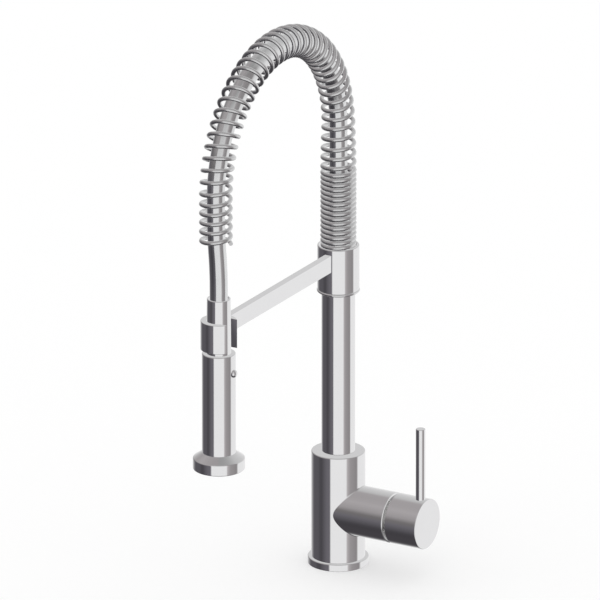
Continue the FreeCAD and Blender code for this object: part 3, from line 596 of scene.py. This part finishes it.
cap = lathe("handle_shell", [(0, CAP_BOTTOM), (CAP_BORE, CAP_BOTTOM), (CAP_BORE, CAP_REAR, FINE_EDGE),
                             (BRANCH_R, CAP_REAR, FINE_EDGE), (BRANCH_R, CAP_FACE, CAP_EDGE), (0, CAP_FACE)],
            (0, 0, BRANCH_Z), level=True)
cap = drilled(cap, ((LEVER_X, 0, LEVER_FOOT), (LEVER_X, 0, LEVER_TOP), LEVER_HOLE_R),
              ((LEVER_X, 0, BRANCH_Z), (LEVER_X, 0, 0), GRUB_HOLE_R))
fitted(cap, chrome, "handle", "chrome", "handle_cap")
fitted(lathe("lever_rod", [(0, LEVER_FOOT), (LEVER_R, LEVER_FOOT, FINE_EDGE), (LEVER_R, LEVER_TOP, LEVER_EDGE),
                           (0, LEVER_TOP)], (LEVER_X, 0, 0)),
       chrome, "handle", "chrome", "lever_pin")
painted(steel, "handle_grub_screw")


# The swivel: a brass foot with two rubber rings turns in the barrel on a plastic glide ring, whose edge is the thin
# shadow line under the pillar. A steel screw from behind runs in the foot's groove.
painted(brass, "pillar_foot")
painted(rubber, "foot_seals")
painted(plastic, "swivel_glide_ring")
painted(steel, "swivel_stop_screw")


# The pillar: a drawn brass tube, polished and chromed, closed above by a brass head that carries hose and spring.
PILLAR_R = 0.014
PILLAR_BORE = 0.0125
PILLAR_FOOT, PILLAR_TOP = 0.09925, 0.2623

fitted(lathe("pillar_shell", [(PILLAR_BORE, PILLAR_FOOT), (PILLAR_R, PILLAR_FOOT, FINE_EDGE), (PILLAR_R, PILLAR_TOP),
                              (PILLAR_BORE, PILLAR_TOP)]),
       chrome, "spout", "chrome", "pillar_tube")
painted(brass, "pillar_head")


# The collar on the pillar's head: a turned sleeve with a half round bead under it. Its upper part is a cup for the
# spring's foot, and a steel screw from behind clamps it.
COLLAR_R = 0.0175
COLLAR_BORE = 0.01405
COLLAR_FOOT, COLLAR_TOP = 0.2423, 0.281
COLLAR_EDGE = 0.0008
CUP_R, CUP_FLOOR = 0.0157, 0.2653
BEAD_R, BEAD_FOOT = 0.018, 0.240
BEAD_ROUND = 0.00112
SET_SCREW_Z, SET_SCREW_R = 0.2523, 0.00255

fitted(lathe("collar_bead", [(COLLAR_BORE, BEAD_FOOT), (BEAD_R, BEAD_FOOT, BEAD_ROUND),
                             (BEAD_R, COLLAR_FOOT, BEAD_ROUND), (COLLAR_BORE, COLLAR_FOOT)]),
       chrome, "spout", "chrome", "collar_ring")
sleeve = lathe("collar_sleeve", [(COLLAR_BORE, COLLAR_FOOT), (COLLAR_R, COLLAR_FOOT, FINE_EDGE),
                                 (COLLAR_R, COLLAR_TOP, COLLAR_EDGE), (CUP_R, COLLAR_TOP, FINE_EDGE),
                                 (CUP_R, CUP_FLOOR), (COLLAR_BORE, CUP_FLOOR)])
sleeve = drilled(sleeve, ((0, 0, SET_SCREW_Z), (0, 2 * COLLAR_R, SET_SCREW_Z), SET_SCREW_R))
fitted(sleeve, chrome, "spout", "chrome", "arm_collar")
painted(steel, "collar_set_screw")


# The arm: a flat brass bar on edge, polished and chromed, soldered to the collar and hollowed at both ends to fit it
# and the ring. The ring is turned with a taper for the spray's neck and milled open on its right for the hose.
REACH = 0.198
ARM_HALF_T = 0.003
ARM_FOOT, ARM_TOP = 0.2615, 0.2765
ARM_EDGE = 0.0003
SINK = 0.00003               # how far the arm's ends go into the pieces they are soldered to
RING_R = 0.01515
RING_FOOT = 0.2515
RING_EDGE = 0.0004
RING_FOOT_BORE, RING_TOP_BORE = 0.01047, 0.01026
SLOT_HALF = 0.0082
SLOT_EDGE, SLOT_STEPS = 0.0003, 3


def arm_bar():
    """The bar's rounded section, drawn from the hollow at the collar to the hollow at the ring."""
    section = rounded([(-ARM_HALF_T, ARM_FOOT, ARM_EDGE), (ARM_HALF_T, ARM_FOOT, ARM_EDGE),
                       (ARM_HALF_T, ARM_TOP, ARM_EDGE), (-ARM_HALF_T, ARM_TOP, ARM_EDGE)])
    points, columns = [], []
    for x, z in section:
        start = SINK - math.sqrt(COLLAR_R ** 2 - x ** 2)
        end = math.sqrt(RING_R ** 2 - x ** 2) - REACH - SINK
        columns.append([len(points), len(points) + 1])
        points += [(x, start, z), (x, end, z)]
    ends = [tuple(column[k] for column in columns) for k in (0, 1)]
    return closed("arm_bar", points, strips(columns) + ends)


def open_ring():
    """The ring's outline, turned from one face of the slot round to the other."""
    outline = rounded([(RING_FOOT_BORE, RING_FOOT, FINE_EDGE), (RING_R, RING_FOOT, RING_EDGE),
                       (RING_R, ARM_TOP, RING_EDGE), (RING_TOP_BORE, ARM_TOP, FINE_EDGE)])
    points, columns = [], []
    for r, h in outline:
        start = math.asin(SLOT_HALF / r)
        columns.append(list(range(len(points), len(points) + SIDES + 1)))
        for k in range(SIDES + 1):
            a = start + (2 * math.pi - 2 * start) * k / SIDES
            points.append((r * math.cos(a), r * math.sin(a) - REACH, h))
    ends = [tuple(column[k] for column in columns) for k in (0, -1)]
    mesh = closed("open_ring", points, strips(columns) + ends)
    work = bmesh.new()
    work.from_mesh(mesh)
    flat = [face for face in work.faces if len(face.verts) > 4]
    rims = [edge for face in flat for edge in face.edges]
    bmesh.ops.bevel(work, geom=rims, offset=SLOT_EDGE, segments=SLOT_STEPS, profile=0.5, affect="EDGES",
                    clamp_overlap=True)
    work.to_mesh(mesh)
    work.free()
    return mesh


fitted(arm_bar(), chrome, "spout", "chrome", "arm")
fitted(open_ring(), chrome, "spout", "chrome", "dock_ring")


# The hose: a smooth silver sheath over a braided tube, crimped in a plated ferrule on the pillar's head. It rises,
# arches over, and comes down by a gentle double bend into the spray's neck.
HOSE_R = 0.0075
HOSE_WALL = 0.0025
HOSE_SIDES = 72
HOSE_RINGS = 300
LINE_STEPS = 64
SEAT_Z = CUP_FLOOR
SHADE_TOP, SHADE_FULL = 0.3495, 0.3435  # heights between which painted shade fades in on the hose inside the spring's close turns
ARCH_R = 0.10125
ARCH_Z = 0.38505
HOSE_BEND, SPRING_BEND = 0.068, 0.050  # height of the double bend: the hose leans over earlier than the spring
HOSE_LEAD = 2 * ARCH_R - REACH         # how far the double bend brings the hose back to the spray
HOSE_END = 0.2816
HOSE_TAIL = 0.0204                     # straight stretch over the hose's end
FALLING = ("spout", "hose_end", (0, -0.100, 0.4), (0, -0.188, 0.4))  # bodies and points between the arch's top and its falling leg; the hose and spring stay where they are


def hose_line(drop):
    """A curve along the hose's middle line, with a double bend of a height."""
    bend_foot = HOSE_END + HOSE_TAIL
    bend_top = bend_foot + drop
    bend_r = (drop ** 2 + HOSE_LEAD ** 2) / (4 * HOSE_LEAD)
    lean = math.asin(drop / 2 / bend_r)
    rise, leg, tail = (ARCH_Z - SEAT_Z) / 3, (ARCH_Z - bend_top) / 3, HOSE_TAIL / 3
    arch = 4 / 3 * math.tan(math.pi / 8) * ARCH_R
    bend = 4 / 3 * math.tan(lean / 4) * bend_r
    up, over, down = Vector((0, 0, 1)), Vector((0, -1, 0)), Vector((0, 0, -1))
    slant = Vector((0, math.sin(lean), -math.cos(lean)))
    stops = [((0, 0, SEAT_Z), up, rise, rise), ((0, 0, ARCH_Z), up, rise, arch),
             ((0, -ARCH_R, ARCH_Z + ARCH_R), over, arch, arch), ((0, -2 * ARCH_R, ARCH_Z), down, arch, leg),
             ((0, -2 * ARCH_R, bend_top), down, leg, bend),
             ((0, -2 * ARCH_R + HOSE_LEAD / 2, bend_top - drop / 2), slant, bend, bend),
             ((0, -REACH, bend_foot), down, bend, tail), ((0, -REACH, HOSE_END), down, tail, tail)]
    curve = bpy.data.curves.new("hose_line", "CURVE")
    curve.dimensions = "3D"
    spline = curve.splines.new("BEZIER")
    spline.bezier_points.add(len(stops) - 1)
    spline.resolution_u = LINE_STEPS
    for knot, (place, along, before, after) in zip(spline.bezier_points, stops):
        knot.co = place
        knot.handle_left = Vector(place) - along * before
        knot.handle_right = Vector(place) + along * after
    line = bpy.data.objects.new("hose_line", curve)
    scene.collection.objects.link(line)
    return line


def grown(name, base, finish, sizes, shape):
    """A mesh that a node tree makes from a base object. The sizes are its inputs, and shape adds its nodes."""
    group = bpy.data.node_groups.new(name, "GeometryNodeTree")
    sockets = group.interface
    sockets.new_socket("Base", in_out="INPUT", socket_type="NodeSocketGeometry")
    for label, value in sizes.items():
        kind = "NodeSocketInt" if isinstance(value, int) else "NodeSocketFloat"
        sockets.new_socket(label, in_out="INPUT", socket_type=kind)
    sockets.new_socket("Piece", in_out="OUTPUT", socket_type="NodeSocketGeometry")
    entry = Wire(group).node("NodeGroupInput")
    made = shape(entry.out("Base"), {label: entry.out(label) for label in sizes})
    made = made.node("GeometryNodeRealizeInstances", inputs={0: made})
    made = made.node("GeometryNodeSetMaterial", inputs={"Geometry": made, "Material": finish})
    made.into(group.nodes.new("NodeGroupOutput").inputs["Piece"])
    modifier = base.modifiers.new(name, "NODES")
    modifier.node_group = group
    for socket in sockets.items_tree:
        if socket.name in sizes:
            modifier[socket.identifier] = sizes[socket.name]
    mesh = bpy.data.meshes.new_from_object(base.evaluated_get(bpy.context.evaluated_depsgraph_get()))
    mesh.name = name
    base.modifiers.remove(modifier)
    bpy.data.objects.remove(base)
    return mesh


def tube_round(line, sizes):
    """A round skin along a line."""
    line = line.node("GeometryNodeResampleCurve", inputs={"Curve": line, "Count": sizes["Rings"]})
    profile = line.node("GeometryNodeCurvePrimitiveCircle",
                        inputs={"Resolution": sizes["Sides"], "Radius": sizes["Radius"]})
    return line.node("GeometryNodeCurveToMesh", inputs={"Curve": line, "Profile Curve": profile})


def hose_tube(finish):
    """The hose's skin, with its wall and its bore, and a mark for painted shade where the spring's close turns
    enclose it.
    """
    mesh = grown("hose_sheath", hose_line(HOSE_BEND), finish,
                 {"Radius": HOSE_R, "Sides": HOSE_SIDES, "Rings": HOSE_RINGS}, tube_round)
    work = bmesh.new()
    work.from_mesh(mesh)
    bmesh.ops.recalc_face_normals(work, faces=work.faces)
    bmesh.ops.solidify(work, geom=work.faces[:], thickness=HOSE_WALL)
    bmesh.ops.recalc_face_normals(work, faces=work.faces)
    work.to_mesh(mesh)
    work.free()
    # painted shade on the hose inside the close turns, fading in by height
    shade = mesh.attributes.new("enclosed", "FLOAT", "POINT")
    for vertex, enclosed in zip(mesh.vertices, shade.data):
        depth = (SHADE_TOP - vertex.co.z) / (SHADE_TOP - SHADE_FULL)
        enclosed.value = min(max(depth, 0), 1) if vertex.co.y > -ARCH_R else 0
    return mesh


# Silver sheath: a metallised plastic film, nearly as bright as the chrome, with faint rings from the extruder. Inside
# the spring's close turns its colour is darkened to a painted shade, as hardly any light comes in between them.
sheath, tree, shader = new_finish("hose_skin")
rings = grain(tree, 90)
enclosed = tree.node("ShaderNodeAttribute", {"attribute_name": "enclosed"}).out("Fac")
silver = mixed(rings, (0.74, 0.745, 0.75, 1), (0.82, 0.825, 0.83, 1))
# painted shade: the sheath's colour goes dark where the hose is marked
mixed(enclosed, silver, (0.25, 0.25, 0.255, 1)).into(shader["Base Color"])
shader["Metallic"].default_value = 1.0
(0.10 + 0.06 * rings + 0.03 * grain(tree, 1200)).into(shader["Roughness"])
bumped(grain(tree, 60), 0.03, 0.0005).into(shader["Normal"])

fitted(hose_tube(sheath), sheath, FALLING, "hose_skin", "hose")
painted(sheath, "hose_ferrule")


# The long spring: one steel wire, drawn bright and wound round the hose. It is close wound where it stands in the
# collar's cup, then opens over the arch, and ends free on the falling leg.
WIRE_R = 0.0018
WIRE_SIDES = 14
WIRE_POINTS = 2300
SPRING_START, SPRING_END = 0.001775, 0.47918   # these and the places below are lengths along the hose
CLOSE_PITCH, OPEN_PITCH, ARCH_PITCH = 0.00425, 0.0080, 0.00933
CLOSE_END = 0.0822
ARCH_TURNS = ((0.098, 0.108), (0.432, 0.446))  # where the turns widen for the arch, and where they narrow again
END_TURN = math.radians(236)           # side where the wire's free end stands, round from the outer side
TAPER = 0.060                          # stretch above the close turns over which the spring narrows
FOOT_COIL_R, TOP_COIL_R = 0.01335, 0.01219


def wound_wire(line, sizes):
    """A wire wound round a line, with a pitch and a radius that change along it."""
    line = line.node("GeometryNodeTrimCurve", {"mode": "LENGTH"},
                     {"Curve": line, 4: sizes["Start"], 5: sizes["End"]})
    line = line.node("GeometryNodeResampleCurve", inputs={"Curve": line, "Count": sizes["Points"]})
    along = line.node("GeometryNodeSplineParameter").out("Length") + sizes["Start"]
    widening = line.node("ShaderNodeMapRange", {"interpolation_type": "SMOOTHSTEP"},
                         {0: along, 1: sizes["Widen from"], 2: sizes["Widen to"]})
    closing = line.node("ShaderNodeMapRange", {"interpolation_type": "SMOOTHSTEP"},
                        {0: along, 1: sizes["Narrow from"], 2: sizes["Narrow to"]})
    open_pitch = sizes["Open pitch"] + (sizes["Arch pitch"] - sizes["Open pitch"]) * (widening - closing)
    is_open = line.calc("GREATER_THAN", along, sizes["Close end"])
    pitch = sizes["Close pitch"] + (open_pitch - sizes["Close pitch"]) * is_open
    step = (sizes["End"] - sizes["Start"]) / (sizes["Points"] - 1)
    turns = line.node("GeometryNodeAccumulateField", inputs={"Value": step / pitch * (2 * math.pi)}, output="Leading")
    turn = turns - turns.out("Total") + sizes["End turn"]
    radius = line.node("ShaderNodeMapRange", {"interpolation_type": "SMOOTHSTEP"},
                       {0: along, 1: sizes["Close end"], 2: sizes["Taper end"], 3: sizes["Foot radius"],
                        4: sizes["Top radius"]})
    tangent = line.node("GeometryNodeInputTangent")
    outward = line.node("ShaderNodeVectorMath", {"operation": "CROSS_PRODUCT"}, {0: tangent, 1: (1, 0, 0)})
    outward = line.node("ShaderNodeVectorMath", {"operation": "SCALE"},
                        {0: outward, "Scale": radius * line.calc("COSINE", turn, 0)})
    sideward = line.node("ShaderNodeCombineXYZ", inputs={"X": 0 - radius * line.calc("SINE", turn, 0)})
    offset = line.node("ShaderNodeVectorMath", {"operation": "ADD"}, {0: outward, 1: sideward})
    line = line.node("GeometryNodeSetPosition", inputs={"Geometry": line, "Offset": offset})
    profile = line.node("GeometryNodeCurvePrimitiveCircle",
                        inputs={"Resolution": sizes["Sides"], "Radius": sizes["Wire radius"]})
    return line.node("GeometryNodeCurveToMesh", inputs={"Curve": line, "Profile Curve": profile, "Fill Caps": True})


# Bright steel wire: a little darker than chrome, with hair lines from the drawing die.
wire, tree, shader = new_finish("spring_wire")
hairs = grain(tree, 2200)
mixed(grain(tree, 70, 3), (0.70, 0.70, 0.705, 1), (0.80, 0.80, 0.805, 1)).into(shader["Base Color"])
shader["Metallic"].default_value = 1.0
(0.22 + 0.07 * hairs).into(shader["Roughness"])
bumped(hairs, 0.05, 0.00005).into(shader["Normal"])

spring_sizes = {"Start": SPRING_START, "End": SPRING_END, "Points": WIRE_POINTS, "Close pitch": CLOSE_PITCH,
                "Close end": CLOSE_END, "Open pitch": OPEN_PITCH, "Arch pitch": ARCH_PITCH,
                "Widen from": ARCH_TURNS[0][0], "Widen to": ARCH_TURNS[0][1],
                "Narrow from": ARCH_TURNS[1][0], "Narrow to": ARCH_TURNS[1][1], "End turn": END_TURN,
                "Taper end": CLOSE_END + TAPER, "Foot radius": FOOT_COIL_R, "Top radius": TOP_COIL_R,
                "Wire radius": WIRE_R, "Sides": WIRE_SIDES}
spring = grown("long_spring", hose_line(SPRING_BEND), wire, spring_sizes, wound_wire)
fitted(spring, wire, FALLING, "spring_wire", "spring")


# The spray: a chromed brass neck that sits in the ring, a grip screwed on its foot, and a flared bell. Inside, a cone
# on the hose's end with a rubber seal lets it turn, and a plastic check valve holds the water.
NECK_THREAD_R, NECK_THREAD_FOOT = 0.0095, 0.238
NECK_FOOT_R, NECK_TOP_R = 0.0102, 0.0098
NECK_TOP, NECK_EDGE = 0.2956, 0.0005
NECK_BORE, NECK_FLOOR = 0.0082, 0.2638
VALVE_HOLE = 0.00585
GRIP_R = 0.014
GRIP_FOOT, GRIP_TOP = 0.161, 0.248
GRIP_EDGE = 0.0008
WATER_R = 0.006
SPIGOT_R, SPIGOT_FOOT = 0.011, 0.152
BELL_R = 0.021598
BELL_FOOT, BELL_RIM_TOP = 0.1467, 0.156
BELL_EDGE, BELL_SHOULDER = 0.0007, 0.0012
PLATE_R = 0.0196
BUTTON_Z, BUTTON_R = 0.232, 0.0034
BUTTON_BORE_END = -0.010     # blind end of the button's bore, beyond the spray's middle
SPRAY = (0, -REACH, 0)

fitted(lathe("neck_sleeve", [(VALVE_HOLE, NECK_THREAD_FOOT), (NECK_THREAD_R, NECK_THREAD_FOOT),
                             (NECK_THREAD_R, GRIP_TOP), (NECK_FOOT_R, GRIP_TOP, FINE_EDGE / 3),
                             (NECK_TOP_R, NECK_TOP, NECK_EDGE), (NECK_BORE, NECK_TOP, NECK_EDGE),
                             (NECK_BORE, NECK_FLOOR), (VALVE_HOLE, NECK_FLOOR)], SPRAY),
       chrome, "spray", "chrome", "spray_neck")
grip = lathe("grip_sleeve", [(WATER_R, SPIGOT_FOOT), (SPIGOT_R, SPIGOT_FOOT), (SPIGOT_R, GRIP_FOOT),
                             (GRIP_R, GRIP_FOOT, FINE_EDGE / 2), (GRIP_R, GRIP_TOP, GRIP_EDGE),
                             (NECK_THREAD_R, GRIP_TOP), (NECK_THREAD_R, NECK_THREAD_FOOT),
                             (WATER_R, NECK_THREAD_FOOT)], SPRAY)
grip = drilled(grip, ((BUTTON_BORE_END, -REACH, BUTTON_Z), (2 * GRIP_R, -REACH, BUTTON_Z), BUTTON_R))
fitted(grip, chrome, "spray", "chrome", "spray_body")
fitted(lathe("bell_flare", [(SPIGOT_R, GRIP_FOOT), (SPIGOT_R, SPIGOT_FOOT), (PLATE_R, SPIGOT_FOOT),
                            (PLATE_R, BELL_FOOT, FINE_EDGE), (BELL_R, BELL_FOOT, BELL_EDGE),
                            (BELL_R, BELL_RIM_TOP, BELL_SHOULDER), (GRIP_R, GRIP_FOOT, FINE_EDGE)], SPRAY),
       chrome, "spray", "chrome", "spray_bell")
painted(brass, "hose_cone")
painted(rubber, "cone_seal")
painted(plastic, "check_valve")


# The spray's face: a dark plastic plate with three rings of soft rubber nozzles, and an aerator of the same plastic
# in its middle. The plate is pushed into the bell.
PLATE_Z, PLATE_T = 0.1482, 0.003
AERATOR_HOLE = 0.00655
NOZZLE_R, NOZZLE_TIP_R, NOZZLE_BORE = 0.0009, 0.0007, 0.0003
NOZZLE_SHOW, NOZZLE_EDGE = 0.0008, 0.0002
NOZZLE_SIDES = 12
NOZZLE_PITCH = 0.0042
NOZZLE_RINGS = (2, 3, 4)
NOZZLE_STEP = 6              # how many more nozzles each ring has than the one inside

# Dark grey moulded plastic: satin, with a fine spark eroded grain.
face_plastic, tree, shader = new_finish("face_plastic")
mixed(grain(tree, 220), (0.12, 0.12, 0.125, 1), (0.17, 0.17, 0.175, 1)).into(shader["Base Color"])
(0.38 + 0.18 * grain(tree, 900)).into(shader["Roughness"])
bumped(grain(tree, 4000), 0.3, 0.00005).into(shader["Normal"])


def nozzle_places():
    """A point for each nozzle, on rings about the spray's middle."""
    places = []
    for ring in NOZZLE_RINGS:
        r, count = ring * NOZZLE_PITCH, ring * NOZZLE_STEP
        for k in range(count):
            a = 2 * math.pi * k / count
            places.append((r * math.cos(a), r * math.sin(a) - REACH, PLATE_Z))
    mesh = bpy.data.meshes.new("nozzle_places")
    mesh.from_pydata(places, [], [])
    base = bpy.data.objects.new("nozzle_places", mesh)
    scene.collection.objects.link(base)
    return base


one_nozzle = bpy.data.objects.new("one_nozzle", lathe("one_nozzle", [
    (NOZZLE_BORE, -NOZZLE_SHOW), (NOZZLE_TIP_R, -NOZZLE_SHOW, NOZZLE_EDGE), (NOZZLE_R, 0),
    (NOZZLE_R, PLATE_T), (NOZZLE_BORE, PLATE_T)], sides=NOZZLE_SIDES))
scene.collection.objects.link(one_nozzle)


def set_in_rings(places, sizes):
    """The same nozzle on every point."""
    nozzle = places.node("GeometryNodeObjectInfo", inputs={"Object": one_nozzle}, output="Geometry")
    return places.node("GeometryNodeInstanceOnPoints",
                       inputs={"Points": places, "Instance": nozzle, "Scale": sizes["Scale"]})


fitted(lathe("face_plate", [(AERATOR_HOLE, PLATE_Z, FINE_EDGE / 2), (PLATE_R, PLATE_Z, FINE_EDGE / 2),
                            (PLATE_R, PLATE_Z + PLATE_T), (AERATOR_HOLE, PLATE_Z + PLATE_T)], SPRAY),
       face_plastic, "spray", "face_plastic", "nozzle_plate")
fitted(grown("soft_nozzles", nozzle_places(), rubber, {"Scale": 1.0}, set_in_rings),
       rubber, "spray", "rubber", "spray_nozzles")
bpy.data.objects.remove(one_nozzle)
painted(face_plastic, "aerator")


# The spray's button: a chromed plug with a domed face, in a bore across the grip. It pushes a plastic spool against a
# small steel spring.
BUTTON_PLUG_R = 0.00335
BUTTON_INNER, BUTTON_CROWN = 0.010, 0.017
BUTTON_DOME_H = 0.0026
BUTTON_STEPS, BUTTON_SIDES = 16, 64
COIL_R, COIL_WIRE_R = 0.0024, 0.00025
COIL_TURNS, COIL_STEPS, COIL_SIDES = 4.0, 24, 10
COIL_GAP = 0.00005
COIL_START, COIL_LENGTH = BUTTON_BORE_END + COIL_GAP, 0.0059


def button_outline():
    shoulder = BUTTON_CROWN - BUTTON_DOME_H
    dome = []
    for k in range(BUTTON_STEPS + 1):
        a = math.pi / 2 * k / BUTTON_STEPS
        dome.append((BUTTON_PLUG_R * math.cos(a), shoulder + BUTTON_DOME_H * math.sin(a)))
    return [(0, BUTTON_INNER), (BUTTON_PLUG_R, BUTTON_INNER), *dome]


fitted(lathe("push_button", button_outline(), (0, -REACH, BUTTON_Z), level=True, sides=BUTTON_SIDES),
       chrome, "spray_button", "chrome", "button")
painted(plastic, "diverter_spool")


def return_coil(bore, sizes):
    """A small coil spring along X."""
    coil = bore.node("GeometryNodeCurveSpiral",
                     inputs={"Resolution": sizes["Steps"], "Rotations": sizes["Turns"], "Height": sizes["Length"],
                             "Start Radius": sizes["Radius"], "End Radius": sizes["Radius"]})
    coil = coil.node("GeometryNodeTransform",
                     inputs={"Geometry": coil, "Rotation": (0, math.pi / 2, 0),
                             "Translation": (COIL_START + COIL_WIRE_R, -REACH, BUTTON_Z)})
    profile = coil.node("GeometryNodeCurvePrimitiveCircle",
                        inputs={"Resolution": sizes["Sides"], "Radius": sizes["Wire radius"]})
    return coil.node("GeometryNodeCurveToMesh", inputs={"Curve": coil, "Profile Curve": profile, "Fill Caps": True})


button_bore = bpy.data.objects.new("button_bore", bpy.data.meshes.new("button_bore"))
scene.collection.objects.link(button_bore)
coil_sizes = {"Steps": COIL_STEPS, "Turns": COIL_TURNS, "Radius": COIL_R, "Length": COIL_LENGTH - 2 * COIL_WIRE_R,
              "Wire radius": COIL_WIRE_R, "Sides": COIL_SIDES}
coil = fitted(grown("return_spring", button_bore, steel, coil_sizes, return_coil),
              steel, "spray", "spring_wire", "button_spring")
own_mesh(coil)

# In the studio the metal shows the screens and cloths only, so no piece stands in another's reflection.
for piece in scene.objects:
    if piece.type == "MESH" and piece != floor:
        piece.visible_glossy = False

bpy.context.view_layer.update()
